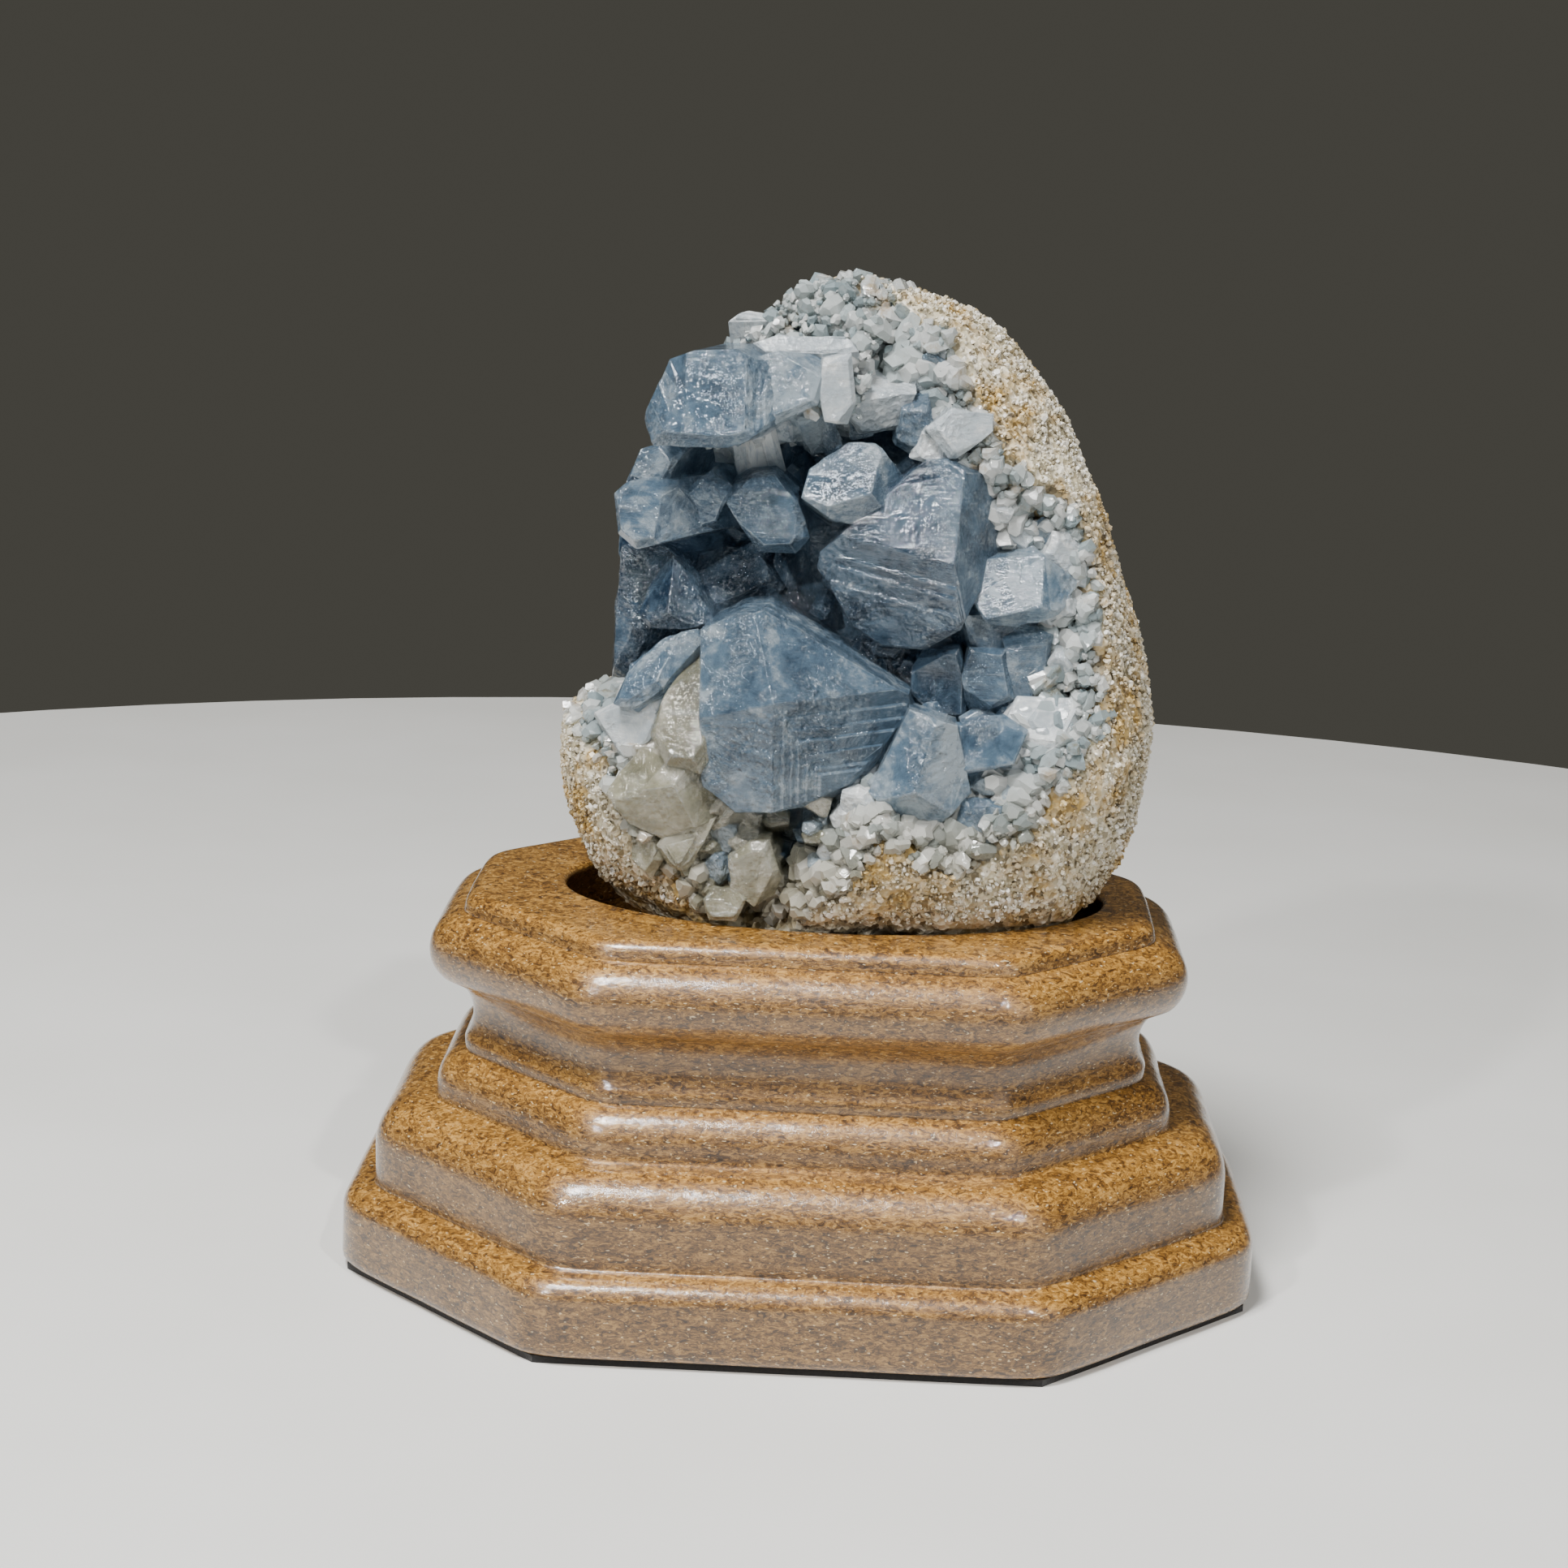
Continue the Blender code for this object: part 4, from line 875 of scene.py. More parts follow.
def make_rind(finish):
    """The rind as one skin: over the egg from its back to the broken edge, round the edge, and
    back along the inner wall.

    A point is given by its angle round the opening and by how far it has come from the back.
    Its distance from the egg's middle is the egg's radius, less the wall on the inside, plus
    lumps of 6 mm, crumbly ledges of 2.6 mm and grains of 1.25 mm on the outside.
    """
    turn = np.linspace(-np.pi, np.pi, 440, endpoint=False)
    ragged = soft_noise(np.stack([np.cos(turn), np.sin(turn), 0 * turn], -1), 0.09, 8)
    edge = mouth_edge(turn) + 0.03 * (1 + ragged)
    tilts, depths, coarse = [], [], []
    for share in np.linspace(0.985, 0, 165):
        tilts.append(edge + (np.pi - edge) * share)
        depths.append(0)
        coarse.append(1)
    for bend in np.radians(np.linspace(0, 180, 9)[1:]):
        tilts.append(edge - 0.035 * np.sin(bend))
        depths.append((1 - np.cos(bend)) / 2)
        coarse.append(1)
    for share in np.linspace(0, 0.97, 24)[1:]:
        tilts.append(edge + (np.pi - edge) * share)
        depths.append(1)
        coarse.append(0)
    tilt = np.array(tilts)
    depth = np.array(depths)[:, None]
    ray = ray_at(tilt, np.broadcast_to(turn, tilt.shape))
    radius = egg_radius(ray) - RIND_WALL * depth
    points = EGG_CENTRE + ray * radius[..., None]
    crumb, crumb_value = grain_noise(points, 2.6 * MM, 20)
    grain, grain_value = grain_noise(points, 1.25 * MM, 30)
    rough = (0.5 * soft_noise(points, 6 * MM, 12) + 0.6 * (crumb_value - 0.5) - 0.35 * crumb
             + 0.5 * (grain_value - 0.5) - 0.35 * grain)
    outside = np.array(coarse)[:, None]
    points = points + ray * ((rough * 0.8 - 0.35) * MM * outside)[..., None]
    return closed_surface("sugary_rind", keep_in_pocket(points, GAP), finish, 60)


# Crystals

def crystal_planes(crystal, dice):
    """A crystal's faces as unit normals, distances from its peak in metres, and that peak.

    Each edge of the outline gives a side along the axis, and a face at 45 degrees that bevels the
    front. A crystal with no facets of its own has a front near square to its axis, and one more
    facet that leans another way.
    """
    outline = np.array(crystal["outline"], float)
    outline = outline[convex_hull_2d(outline.tolist())]
    peak = np.array(crystal.get("peak", outline.mean(axis=0)))
    depth = crystal["depth"]
    azimuth, elevation = crystal["axis"]
    ahead = direction(azimuth, elevation)
    corners = np.stack([outline[:, 0] - peak[0], 0 * outline[:, 0], outline[:, 1] - peak[1]], -1)
    edges = np.roll(corners, -1, axis=0) - corners
    outward = unit(np.cross(edges, ahead))
    middle = corners.mean(axis=0)
    outward *= np.sign(((corners - middle) * outward).sum(axis=1))[:, None]
    reach = (corners * outward).sum(axis=1)
    size = np.sqrt(np.ptp(outline[:, 0]) * np.ptp(outline[:, 1]))
    facets = crystal["facets"]
    if facets is None:
        tilt = dice.uniform(-14, 14, 2)
        lean = dice.uniform(25, 50, 2) * dice.choice((-1, 1), 2)
        facets = ((azimuth + tilt[0], elevation + tilt[1], 0),
                  (azimuth + lean[0], elevation + lean[1], size * dice.uniform(0.12, 0.3)))
    facet_azimuth, facet_elevation, distance = np.array(facets, float).T
    slope = math.sqrt(0.5)
    length = crystal.get("length", ROOT_DEPTH - depth)
    normals = [outward, (outward + ahead) * slope, [-ahead],
               direction(facet_azimuth, facet_elevation)]
    offsets = [reach, (reach - crystal["bevel"]) * slope, [length], distance]
    tip = EGG_CENTRE + np.array((peak[0], depth, peak[1])) * MM
    return np.concatenate(normals), np.concatenate(offsets) * MM, tip


def triples(count):
    """All threes of different faces, as three rows of face numbers."""
    first, second, third = np.meshgrid(*[np.arange(count)] * 3, indexing="ij")
    chosen = (first < second) & (second < third)
    return first[chosen], second[chosen], third[chosen]


def worn_corners(normals, offsets):
    """The corners of a convex crystal with worn edges.

    A corner is where three faces meet and no other face cuts it off: the three planes' equations
    are solved for all triples of faces at once. On each of its faces it is then drawn a little
    towards the middle of that face, so that a narrow face opens along every edge.
    """
    picked = np.stack(triples(len(offsets)), axis=-1)
    system = normals[picked]
    meets = np.abs(np.linalg.det(system)) > 1e-4
    corners = np.linalg.solve(system[meets], offsets[picked[meets]][..., None])[..., 0]
    corners = corners[(corners @ normals.T <= offsets + 1e-3 * MM).all(axis=1)]
    touching = np.abs(corners @ normals.T - offsets) < 0.01 * MM
    touching &= touching.sum(axis=0) >= 3
    middles = touching.T @ corners / np.maximum(touching.sum(axis=0), 1)[:, None]
    corner, face = np.nonzero(touching)
    inward = middles[face] - corners[corner]
    distance = np.maximum(np.linalg.norm(inward, axis=1), 1e-3 * MM)
    step = np.minimum(WORN_EDGE, 0.4 * distance) / distance
    return corners[corner] + inward * step[:, None]


def crystal_object(name, tip, normals, offsets):
    """A crystal as a closed object: the hull of its worn corners."""
    sheet = bmesh.new()
    for corner in worn_corners(normals, offsets) + tip:
        sheet.verts.new(corner)
    bmesh.ops.remove_doubles(sheet, verts=sheet.verts, dist=0.02 * MM)
    hull = bmesh.ops.convex_hull(sheet, input=sheet.verts)
    inner = [v for v in hull["geom_interior"] if isinstance(v, bmesh.types.BMVert)]
    bmesh.ops.delete(sheet, geom=inner, context="VERTS")
    mesh = bpy.data.meshes.new(name)
    sheet.to_mesh(mesh)
    sheet.free()
    return new_object(name, mesh, None)


def grown(name, crystal, dice):
    """A crystal with growth plates: copies of it, each raised on one face and drawn in elsewhere.

    A plate rises by 0.2 mm or more, on the largest crystals by up to about 1.5 mm. A crystal with
    stairs has copies raised on one facet, each drawn in further from one side, so that their
    edges run parallel. Each part comes with what tells its faces again once all are joined: its
    peak, faces, axis and tint.
    """
    crystal = ORDINARY | crystal
    normals, offsets, tip = crystal_planes(crystal, dice)
    ahead = direction(*crystal["axis"])
    size = np.sqrt(np.prod(np.ptp(np.array(crystal["outline"]), axis=0))) * MM / 2
    at_tip = normals @ ahead > FACES_FRONT
    at_root = normals @ ahead < FACES_ROOT
    front = np.flatnonzero(at_tip & (normals[:, 1] < 0.2))
    shift = dice.uniform(-1, 1, 3)
    tint = crystal["tint"] + dice.uniform(-0.1, 0.1)
    parts = []
    for i in range(crystal["plates"] + 1 + crystal["stairs"]):
        plate = offsets.copy()
        step = i - crystal["plates"]
        if step > 0:
            facet = len(offsets) - 1
            lean = np.clip(normals @ direction(*STAIR_SIDE), 0, 1)
            lean = np.where(at_root, 0, 0.15 + lean)
            plate = offsets - lean * (step + dice.uniform(-0.4, 0.4)) * STAIR_TREAD
            plate[facet] = offsets[facet] + step * STAIR_RISE
        elif i:
            drawn_in = dice.uniform(0.05, 0.6, len(offsets)) * size
            drawn_in = np.where(at_root, 0, drawn_in)
            drawn_in = np.where(at_tip, 0.02 * MM, drawn_in)
            plate = offsets - drawn_in
            face = front[i % len(front)]
            plate[face] = offsets[face] + dice.uniform(0.2, 0.45 + 0.06 * size / MM) * MM
        thing = crystal_object(f"{name}_{i}", tip, normals, plate)
        parts.append(dict(thing=thing, tip=tip, faces=(normals, plate), axis=crystal["axis"],
                          shift=shift, tint=tint + dice.uniform(-0.08, 0.08)))
    return parts


def polar_object(name, tilts, radii, columns):
    """A closed solid round the opening's axis: for each row, its tilt and radius at each turn."""
    turn = np.linspace(-np.pi, np.pi, columns, endpoint=False)
    grid = []
    for tilt, radius in zip(tilts, radii):
        ray = ray_at(tilt(turn), turn)
        grid.append(EGG_CENTRE + ray * radius(ray)[:, None])
    return closed_surface(name, np.array(grid), None)


def towards_back(share):
    """Tilts between the rind's edge (share 0) and the back of the egg (share 1)."""
    return lambda turn: mouth_edge(turn) + (np.pi - mouth_edge(turn)) * share


def bowl_share(share):
    """Front of the grown-together crystals, of the cavity's radius, from middle 0 to edge 1."""
    return BOWL_MIDDLE + (BOWL_EDGE - BOWL_MIDDLE) * share ** 2


def bed_of_crystals():
    """The grown-together crystal that fills the rind. Its front is a bowl, deep in the middle."""
    tilts = [towards_back(s) for s in (0.97, 0.75, 0.5, 0.25, 0.02)]
    radii = [lambda ray: cavity_radius(ray) + 2 * MM] * 5
    for share in (1.0, 0.85, 0.7, 0.5, 0.3, 0.1):
        tilts.append(lambda turn, s=share: towards_back(0.02)(turn) * s)
        radii.append(lambda ray, s=share: cavity_radius(ray) * bowl_share(s))
    return polar_object("crystal_crust", tilts, radii, 36)


def crust_limit():
    """What the crust may fill: the cavity of the rind, less a gap, and the space before it."""
    tilts = [lambda turn, s=s: s * (mouth_edge(turn) - 0.02) for s in (0.05, 0.35, 0.7, 1.0)]
    radii = [lambda ray: egg_radius(ray) * 1.4] * 4
    tilts += [lambda turn: mouth_edge(turn) - 0.02]
    tilts += [towards_back(0.97 * i / 15) for i in range(1, 16)]
    radii += [lambda ray: cavity_radius(ray) - 2 * GAP] * 16
    return polar_object("crust_limit", tilts, radii, 96)


def standing_room():
    """What the geode may fill: the pocket up to the top of the base, and the space above it."""
    turn = np.linspace(0, 2 * np.pi, 64, endpoint=False)
    half = (POCKET_WIDTH / 2 - GAP, POCKET_DEPTH / 2 - GAP)
    wide = 90 * MM
    grid = []
    for (a, b), height in ((half, POCKET_FLOOR + GAP), (half, BASE_TOP + GAP),
                           ((wide, wide), BASE_TOP + GAP), ((wide, wide), 2 * wide)):
        grid.append(np.stack([POCKET_X + a * np.cos(turn), b * np.sin(turn),
                              np.full(len(turn), height)], axis=-1))
    return closed_surface("standing_room", np.array(grid), None)


def small_shape(dice, ray, radius, width, spread, tint, tone="clear", rise=0, length=16):
    """A nameless crystal with its peak on a ray: a six-sided outline and a roughly forward axis.

    The spread, in degrees, is how far the axis may turn aside, the rise how far it leans upwards.
    The width and length are in mm.
    """
    x, y, z = ray * radius / MM
    height = width * dice.uniform(0.65, 1.1)
    corner = np.radians(60 * np.arange(6) + dice.uniform(-14, 14, 6) + dice.uniform(0, 60))
    outline = np.stack([x + width / 2 * np.cos(corner), z + height / 2 * np.sin(corner)], axis=-1)
    axis = (MOUTH_AZIMUTH + dice.uniform(-spread, spread), rise + dice.uniform(-spread, spread))
    return dict(depth=y, axis=axis, outline=outline, bevel=width * 0.1, plates=1, length=length,
                tint=tint, tone=tone)


def nameless_crystals(dice):
    """Crystals between the named ones, deep in the middle, pale ones along the broken edge, and
    short pale ones that crown the top left of the opening.
    """
    shapes = []
    for _ in range(BETWEEN):
        turn = dice.uniform(-np.pi, np.pi)
        share = math.sqrt(dice.uniform(0.02, 0.95))
        ray = ray_at(mouth_edge(np.array([turn]))[0] * share, turn)
        radius = cavity_radius(ray) * bowl_share(share) + dice.uniform(1.5, 6.5) * MM
        # Their tint is darker towards the middle of the hollow: painted shade for the deep cavity.
        shapes.append(small_shape(dice, ray, radius, width=dice.uniform(3.5, 8), spread=32,
                                  tint=0.15 + 0.45 * share ** 2))
    for _ in range(AT_EDGE):
        turn = dice.uniform(*np.radians(EDGE_TURNS))
        low_left = turn < math.radians(LOW_LEFT)
        band = 18 if low_left else 9
        tilt = mouth_edge(np.array([turn]))[0] - math.radians(dice.uniform(1, band))
        ray = ray_at(tilt, turn)
        radius = egg_radius(ray) - dice.uniform(3.5, 11) * MM
        tone = "clear"
        if dice.uniform() < 0.7:
            tone = "straw" if low_left else "milky"
        shapes.append(small_shape(dice, ray, radius, width=dice.uniform(2.5, 6.5), spread=28,
                                  tint=dice.uniform(0.4, 0.9), tone=tone))
    for _ in range(IN_CROWN):
        ray = ray_at(*np.radians((dice.uniform(*CROWN_TILTS), dice.uniform(*CROWN_TURNS))))
        radius = egg_radius(ray) - dice.uniform(3, 6.5) * MM
        tone = "milky" if dice.uniform() < 0.7 else "clear"
        shapes.append(small_shape(dice, ray, radius, width=dice.uniform(2.5, 5.5), spread=20,
                                  tint=dice.uniform(0.5, 0.9), tone=tone, rise=CROWN_RISE,
                                  length=8))
    return shapes


def triangles_of(mesh):
    """A mesh's points and triangles as arrays."""
    sheet = bmesh.new()
    sheet.from_mesh(mesh)
    bmesh.ops.triangulate(sheet, faces=sheet.faces, ngon_method="EAR_CLIP")
    sheet.to_mesh(mesh)
    sheet.free()
    faces = read(mesh.loops, "vertex_index", 1, np.int32).reshape(-1, 3)
    return read(mesh.vertices, "co", 3), faces.astype(np.int64)


def in_sight(points):
    """Whether points of the crust may be seen: those in front of the bed that it grew on."""
    apart = points - EGG_CENTRE
    distance = np.linalg.norm(apart, axis=-1)
    ray = apart / distance[:, None]
    tilt, turn = angles_of(ray)
    share = tilt / mouth_edge(turn)
    return (share < 1.02) & (distance > cavity_radius(ray) * bowl_share(share) - 1 * MM)


def owners(middles, parts):
    """The crystal that each face is a face of, or -1, and whether the face is a worn edge.

    A face belongs to the crystal whose own faces it lies on: the one for which the greatest
    distance of the face's middle in front of any of its planes is nearest to zero. Worn edges
    lie a little below the planes.
    """
    nearest = np.full(len(middles), ON_EDGE)
    owner = np.full(len(middles), -1)
    for i, part in enumerate(parts):
        normals, offsets = part["faces"]
        apart = middles - part["tip"]
        near = np.flatnonzero((apart ** 2).sum(axis=1) < LONGEST_CRYSTAL ** 2)
        ahead_of = apart[near] @ normals.T - offsets
        off = np.abs(ahead_of.max(axis=1))
        better = off < nearest[near]
        nearest[near[better]] = off[better]
        owner[near[better]] = i
    return owner, (nearest > ON_FACE) & (owner >= 0)


def cut_long_edges(points, faces, longest):
    """Triangles cut until no edge is longer than a limit, and the face that each one came from.

    Every edge over the limit is halved at once. A triangle with one, two or three halved edges
    becomes two, three or four, so that neighbours still meet edge to edge.
    """
    source = np.arange(len(faces))
    for _ in range(12):
        ends = np.sort(faces[:, [[0, 1], [1, 2], [2, 0]]], axis=-1)
        keys, place = np.unique(ends[..., 0] * len(points) + ends[..., 1], return_inverse=True)
        a, b = np.divmod(keys, len(points))
        middles = (points[a] + points[b]) / 2
        long = np.linalg.norm(points[a] - points[b], axis=1) > longest(middles)
        if not long.any():
            break
        number = np.full(len(keys), -1)
        number[long] = len(points) + np.arange(long.sum())
        points = np.concatenate([points, middles[long]])
        half = number[place.reshape(ends.shape[:2])]
        cuts = (half >= 0).sum(axis=1)
        first = np.where(cuts == 1, np.argmax(half >= 0, axis=1), 0)
        first = np.where(cuts == 2, (np.argmin(half >= 0, axis=1) + 1) % 3, first)
        order = (first[:, None] + np.arange(3)) % 3
        corner = np.take_along_axis(faces, order, 1)
        full = np.concatenate([corner, np.take_along_axis(half, order, 1)], axis=1)
        ways = {0: ((0, 1, 2),), 1: ((0, 3, 2), (3, 1, 2)), 2: ((3, 1, 4), (0, 3, 4), (0, 4, 2)),
                3: ((0, 3, 5), (3, 1, 4), (5, 4, 2), (3, 4, 5))}
        pieces, sources = [], []
        for count, pattern in ways.items():
            chosen = cuts == count
            for corners in pattern:
                pieces.append(full[chosen][:, corners])
                sources.append(source[chosen])
        faces = np.concatenate(pieces)
        source = np.concatenate(sources)
    return points, faces, source


def lone(faces):
    """Which triangles share all corners with no other: two that do lie flat on each other."""
    corners = np.sort(faces, axis=1)
    _, same, count = np.unique(corners, axis=0, return_inverse=True, return_counts=True)
    return count[same.ravel()] == 1


def etched_share(points):
    """How far points lie in an etched patch, 0 to 1: noise of 8 mm and 3 mm, cut off steeply."""
    patch = soft_noise(points, 8 * MM, 40) + 0.6 * soft_noise(points, 3 * MM, 41)
    return np.clip((patch - 0.05) / 0.3, 0, 1)


def etched(points):
    """Points of the crust, moved by slow waves of growth, and in etched patches by small pits.

    Waves are noise of 4 mm, 0.04 mm high, pits noise of 1.6 mm, 0.3 mm deep, along all three
    axes. Nothing moves near the base.
    """
    wave = np.stack([soft_noise(points, 4 * MM, 50 + axis) for axis in range(3)], axis=-1)
    pit = np.stack([soft_noise(points, 1.6 * MM, 60 + axis) for axis in range(3)], axis=-1)
    free = np.clip((points[:, 2:] - BASE_TOP - 1 * MM) / (2 * MM), 0, 1)
    moved = 0.04 * wave + 0.3 * pit * etched_share(points)[:, None]
    return points + moved * MM * free


def dress(thing, parts, finish):
    """Cut a crust's faces fine, etch it, and tell each face which crystal it belongs to.

    own_place is measured from that crystal's peak, along its own axes, and shifted by a random
    amount, so that growth lines follow each crystal and change from one to the next.
    """
    points, faces = triangles_of(thing.data)
    owner, edge = owners(points[faces].mean(axis=1), parts)
    points, faces, source = cut_long_edges(
        points, faces, lambda middles: np.where(in_sight(middles), FACE_STEP, HIDDEN_STEP))
    single = lone(faces)
    faces = faces[single]
    source = source[single]
    owner = owner[source]
    mesh = mesh_from(thing.name, etched(points), faces)
    corner_owner = np.repeat(owner, 3)
    place = points[faces].reshape(-1, 3)
    tint = np.full(len(place), 0.35)
    for i, part in enumerate(parts):
        mine = corner_owner == i
        own_axes = np.array(axes(*part["axis"]))
        place[mine] = (place[mine] - part["tip"]) @ own_axes.T + part["shift"]
        tint[mine] = part["tint"]
    per_face = np.random.default_rng(SEED + 9).uniform(-0.1, 0.1, source.max() + 1)
    share = etched_share(points)[faces.ravel()]
    mesh.shade_flat()
    keep_attribute(mesh, "own_place", place)
    keep_attribute(mesh, "tint", tint + np.repeat(per_face[source], 3))
    keep_attribute(mesh, "worn_edge", np.repeat(edge[source], 3).astype(float))
    keep_attribute(mesh, "etched", share)
    thing.data = mesh
    mesh.materials.append(finish)


def joined_crystals(target, parts, finish):
    """Join crystals in one closed solid, keep what may stand in the geode, and dress it."""
    combine(target, "UNION", [part["thing"] for part in parts])
    combine(target, "INTERSECT", [crust_limit()])
    combine(target, "INTERSECT", [standing_room()])
    dress(target, parts, finish)
    return target


def make_crystals(finishes):
    """The crystals, each kind joined in one solid: clear ones with their bed, milky and straw."""
    dice = np.random.default_rng(SEED)
    kinds = {"clear": [], "milky": [], "straw": []}
    for name, crystal in CRYSTALS.items():
        kinds[crystal.get("tone", "clear")] += grown(name, crystal, dice)
    for i, crystal in enumerate(nameless_crystals(dice)):
        kinds[crystal["tone"]] += grown(f"small_{i}", crystal, dice)
    bed = bed_of_crystals()
    made = [joined_crystals(bed, kinds["clear"], finishes["clear"])]
    for kind in ("milky", "straw"):
        first = kinds[kind][0]["thing"]
        target = new_object(f"{kind}_crystals", first.data.copy(), None)
        made.append(joined_crystals(target, kinds[kind], finishes[kind]))
    return made


def small_crystals(name, centres, ways, widths, lengths, finish, seed, narrow, sides=6):
    """Many small crystals as one mesh of closed prisms, each round its own way.

    A crystal has three rings of corners, at its root, at its shoulder and round its slanted tip,
    which is narrowed to a share of its width. The angles, radii and heights of the corners are
    drawn at random, all crystals at once.
    """
    dice = np.random.default_rng(seed)
    count = len(centres)
    shape = (count, 3, sides)
    angle = (np.arange(sides) + dice.uniform(-0.3, 0.3, (count, 1, sides))) * 2 * np.pi / sides
    angle = np.broadcast_to(angle, shape)
    radius = np.array((0.8, 1, narrow))[:, None] * dice.uniform(0.75, 1.2, (count, 1, sides))
    height = np.broadcast_to(np.array((-1, 0.3, 0.9))[:, None], shape)
    slant = dice.uniform(-0.5, 0.5, (count, 2, 1, 1))
    height = height + np.array((0, 1, 1))[:, None] * (slant[:, 0] * np.cos(angle)
                                                      + slant[:, 1] * np.sin(angle)) * 0.5
    local = np.stack([radius * np.cos(angle), radius * np.sin(angle), height], axis=-1)
    local = local * np.stack([widths, widths, lengths], axis=-1)[:, None, None] / 2
    ways = unit(ways)
    right = unit(np.cross(ways, unit(dice.normal(size=(count, 3)))))
    up = np.cross(ways, right)
    frames = np.stack([right, up, ways], axis=1)
    points = np.einsum("crsi,cij->crsj", local, frames) + centres[:, None, None]
    first = np.arange(sides)
    beside = (first + 1) % sides
    quads = np.concatenate([np.stack([first, beside, beside + sides, first + sides], -1) + ring
                            for ring in (0, sides)])
    caps = np.stack([first[::-1], first + 2 * sides])
    start = (np.arange(count) * 3 * sides)[:, None, None]
    faces = [(quads + start).reshape(-1, 4), (caps + start).reshape(-1, sides)]
    mesh = mesh_from(name, points, faces)
    mesh.shade_flat()
    corners = read(mesh.loops, "vertex_index", 1, np.int32).ravel()
    own = (local + dice.uniform(-1, 1, (count, 1, 1, 3))).reshape(-1, 3)
    tint = np.repeat(dice.uniform(0, 1, count), 3 * sides)
    keep_attribute(mesh, "own_place", own[corners])
    keep_attribute(mesh, "tint", tint[corners])
    return new_object(name, mesh, finish)


def make_druse(finish):
    """The druse on the broken edge: small crystals between the rind and the large ones.

    They stand on the cone of the edge, from 11 mm inside the egg's face to just under it, and
    point forwards. They are smaller towards the rind. Some crown the top left of the opening,
    where the rind is broken back furthest.
    """
    dice = np.random.default_rng(SEED + 1)
    turn = dice.uniform(-np.pi, np.pi, DRUSE)
    share = dice.uniform(0, 1, DRUSE)
    tilt = mouth_edge(turn) - np.radians(dice.uniform(-0.5, 4, DRUSE))
    inset = 11 - 10.3 * share
    crown = np.arange(DRUSE) < CROWN_DRUSE
    turn = np.where(crown, np.radians(dice.uniform(*DRUSE_TURNS, DRUSE)), turn)
    tilt = np.where(crown, np.radians(dice.uniform(*DRUSE_TILTS, DRUSE)), tilt)
    inset = np.where(crown, dice.uniform(0.3, 3.5, DRUSE), inset) * MM
    ray = ray_at(tilt, turn)
    centres = EGG_CENTRE + ray * (egg_radius(ray) - inset)[:, None]
    ways = direction(MOUTH_AZIMUTH, MOUTH_ELEVATION) + 0.35 * dice.normal(size=(DRUSE, 3))
    widths = (1.2 + (5.2 - 3.4 * share) * dice.uniform(0, 1, DRUSE) ** 2) * MM
    widths = np.where(crown, 0.55 * widths, widths)
    standing = centres[:, 2] > BASE_TOP + CLEAR_OF_BASE
    return small_crystals("rim_druse", centres[standing], ways[standing], widths[standing],
                          widths[standing] * 1.5, finish, SEED + 2, narrow=0.5)


def make_sugar(name, finish, count, sizes, back, seed):
    """Sugary grains on the rind's outside: blunt angular lumps, between two sizes in mm.

    Grains further back than a distance are left out.
    """
    dice = np.random.default_rng(seed)
    ray = unit(dice.normal(size=(count, 3)))
    tilt, turn = angles_of(ray)
    on_rind = tilt > mouth_edge(turn) - 0.01
    centres = EGG_CENTRE + ray * (egg_radius(ray) - 0.4 * MM)[:, None]
    on_rind &= (centres[:, 2] > BASE_TOP + CLEAR_OF_BASE) & (centres[:, 1] < back)
    centres = centres[on_rind]
    widths = dice.uniform(*sizes, len(centres)) * MM
    ways = ray[on_rind] + 0.6 * dice.normal(size=(len(centres), 3))
    return small_crystals(name, centres, ways, widths, widths, finish, seed + 1, narrow=0.6,
                          sides=4)


# Stage, camera and lights

def make_stage():
    """A plain pale table top and the light round it."""
    made, tree, shader = new_material("pale_table")
    place = node(tree, "TexCoord").outputs["Object"]
    cloud = node(tree, "TexNoise", {"Vector": place, "Scale": per_mm(60), "Detail": 3})
    colour = node(tree, "ValToRGB", {"Fac": cloud}, ((0.3, "#dcdbd6"), (0.7, "#e2e1dd")))
    feed(tree, shader, {"Base Color": colour, "Roughness": 0.45})
    turn = np.linspace(0, 2 * np.pi, 96, endpoint=False)
    rim = TABLE_RADIUS + 2 * MM
    grid = [np.stack([r * np.cos(turn), r * np.sin(turn), np.full(len(turn), z)], axis=-1)
            for r, z in ((0.1, -TABLE_DEPTH), (TABLE_RADIUS, -TABLE_DEPTH), (rim, -2 * MM),
                         (TABLE_RADIUS, 0), (0.1, 0))]
    closed_surface("table_top", np.array(grid), made)
    world = bpy.data.worlds.new("studio")
    bpy.context.scene.world = world
    world.use_nodes = True
    tree = world.node_tree
    feed(tree, tree.nodes["Background"], {"Color": linear("#64625a"), "Strength": 0.5})


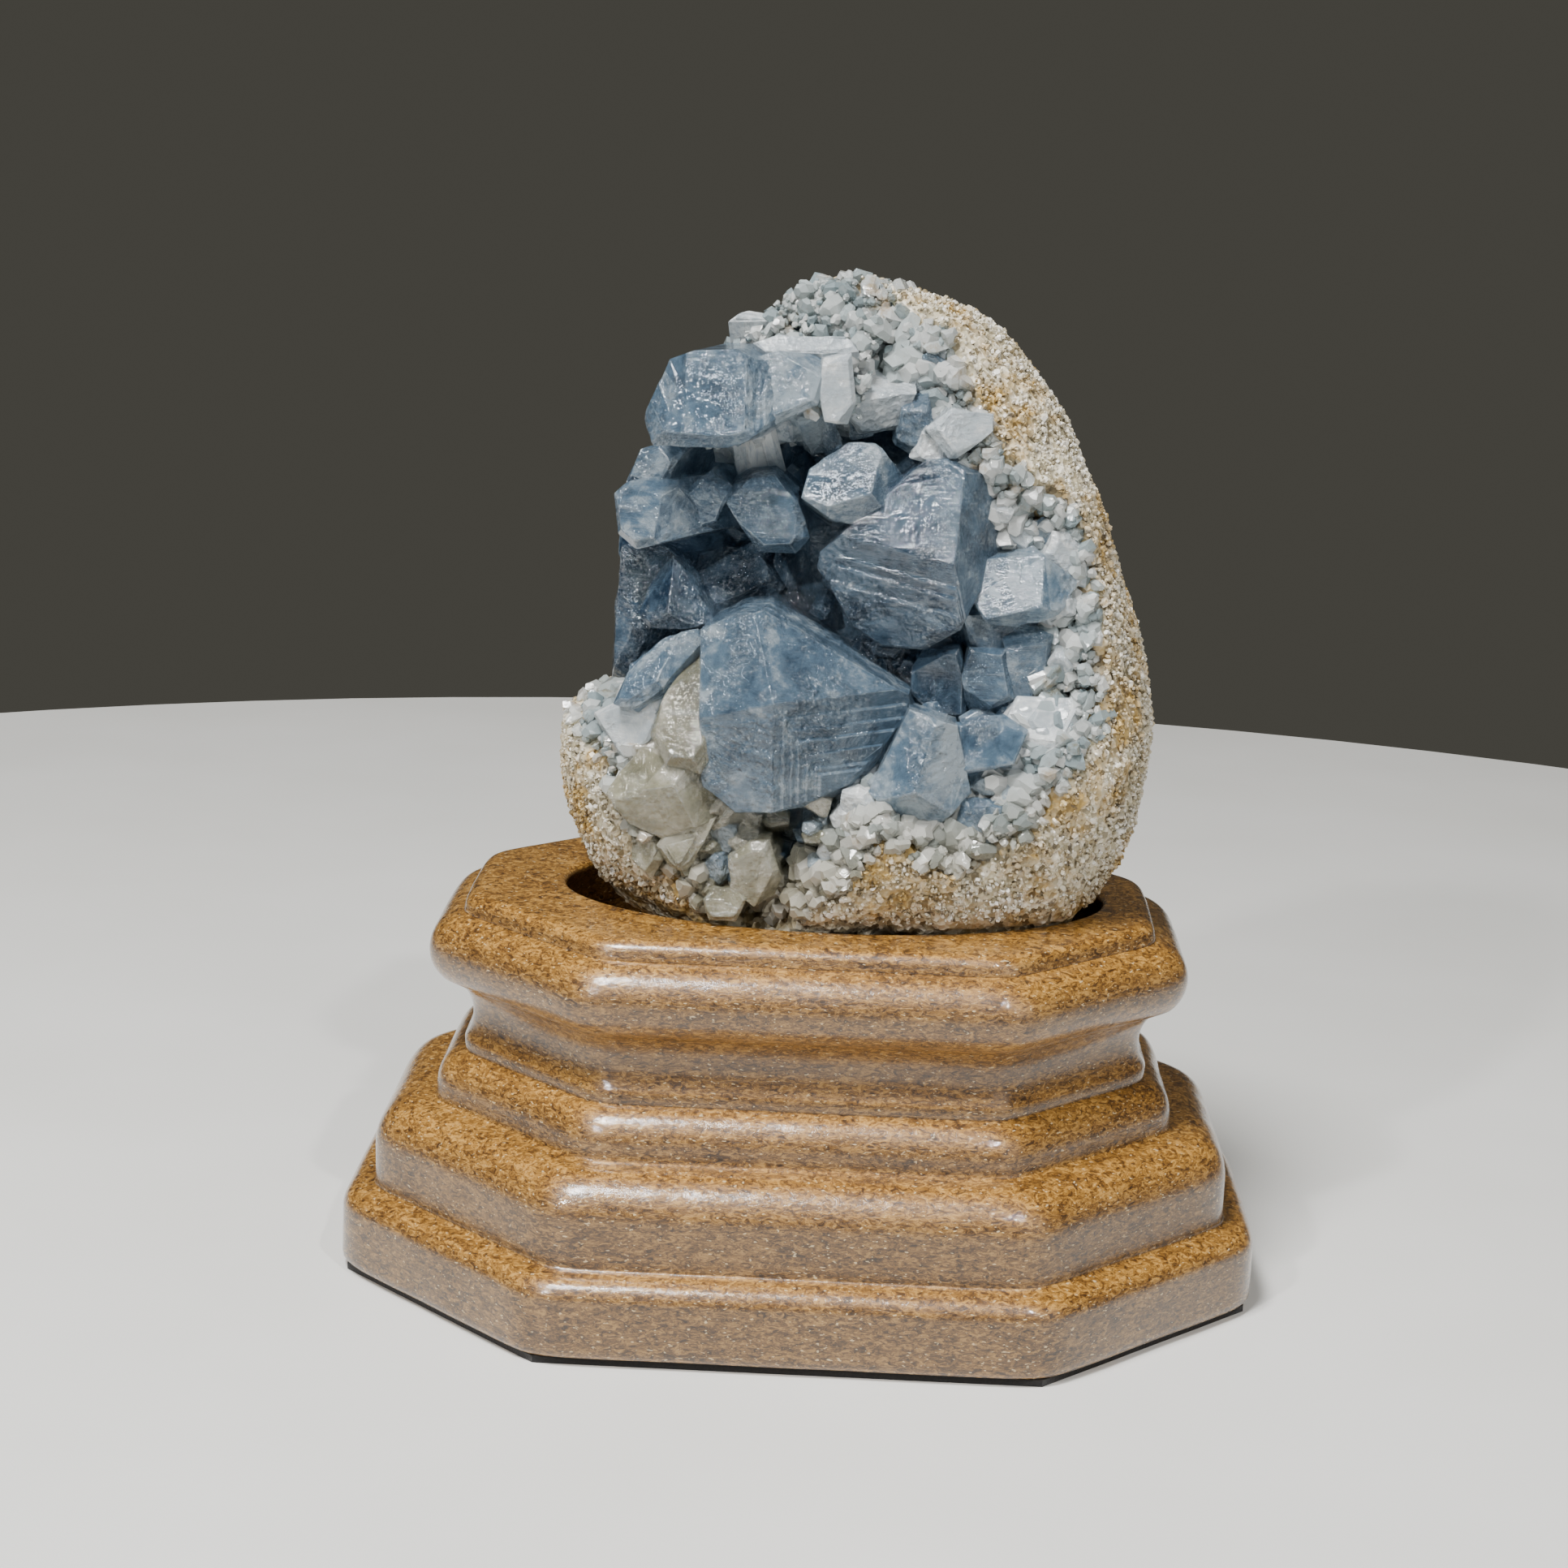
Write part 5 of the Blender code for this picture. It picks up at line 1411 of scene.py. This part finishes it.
def make_light(name, place, aim, size, power):
    """A square soft light at a place, turned to a point."""
    lamp = bpy.data.lights.new(name, "AREA")
    lamp.size = size
    lamp.energy = power
    thing = bpy.data.objects.new(name, lamp)
    bpy.context.scene.collection.objects.link(thing)
    thing.location = place
    thing.rotation_euler = (Vector(aim) - Vector(place)).to_track_quat("-Z", "Y").to_euler()


def make_camera():
    """The camera at the photograph's place and angle."""
    lens = bpy.data.cameras.new("camera")
    lens.lens = CAMERA_LENS
    lens.sensor_width = 36
    lens.clip_start = 0.01
    thing = bpy.data.objects.new("camera", lens)
    bpy.context.scene.collection.objects.link(thing)
    thing.location = CAMERA_PLACE
    look = Euler((math.radians(90 - CAMERA_PITCH), 0, 0)).to_matrix()
    swing = Euler((0, 0, math.radians(CAMERA_YAW))).to_matrix()
    lean = Euler((0, 0, math.radians(CAMERA_ROLL))).to_matrix()
    thing.rotation_euler = (swing @ look @ lean).to_euler()
    bpy.context.scene.camera = thing


make_camera()
make_stage()
for name, light in LIGHTS.items():
    make_light(name, **light)

base = make_base(varnished_mdf())
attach(base, "root")
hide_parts("wooden_base")

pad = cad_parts["felt_pad"]
pad.data.materials.clear()
pad.data.materials.append(black_felt())

rind = make_rind(rind_stone())
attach(rind, "root")
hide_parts("geode_rind")

crystals = make_crystals({
    "clear": celestite("clear_celestite", CLEAR_TONES, clear=0.66, rough=0.03,
                       absorb="#9bb9d1", density=30),
    "milky": celestite("milky_celestite", MILKY_TONES, clear=0.5, rough=0.1,
                       absorb="#dfe6ea", density=15),
    "straw": celestite("straw_celestite", STRAW_TONES, clear=0.7, rough=0.05,
                       absorb="#cccaae", density=25),
})
crystals.append(make_druse(druse()))
for piece in crystals:
    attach(piece, "root")
    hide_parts("celestite_crystals")

sugary = sugar()
for grains in (make_sugar("sugar_grains", sugary, GRAINS, (0.5, 1.2), 40 * MM, SEED + 3),
               make_sugar("fine_sugar", sugary, FINE_GRAINS, (0.3, 0.7), 8 * MM, SEED + 5)):
    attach(grains, "root")
    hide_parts("geode_rind")

bpy.context.view_layer.update()
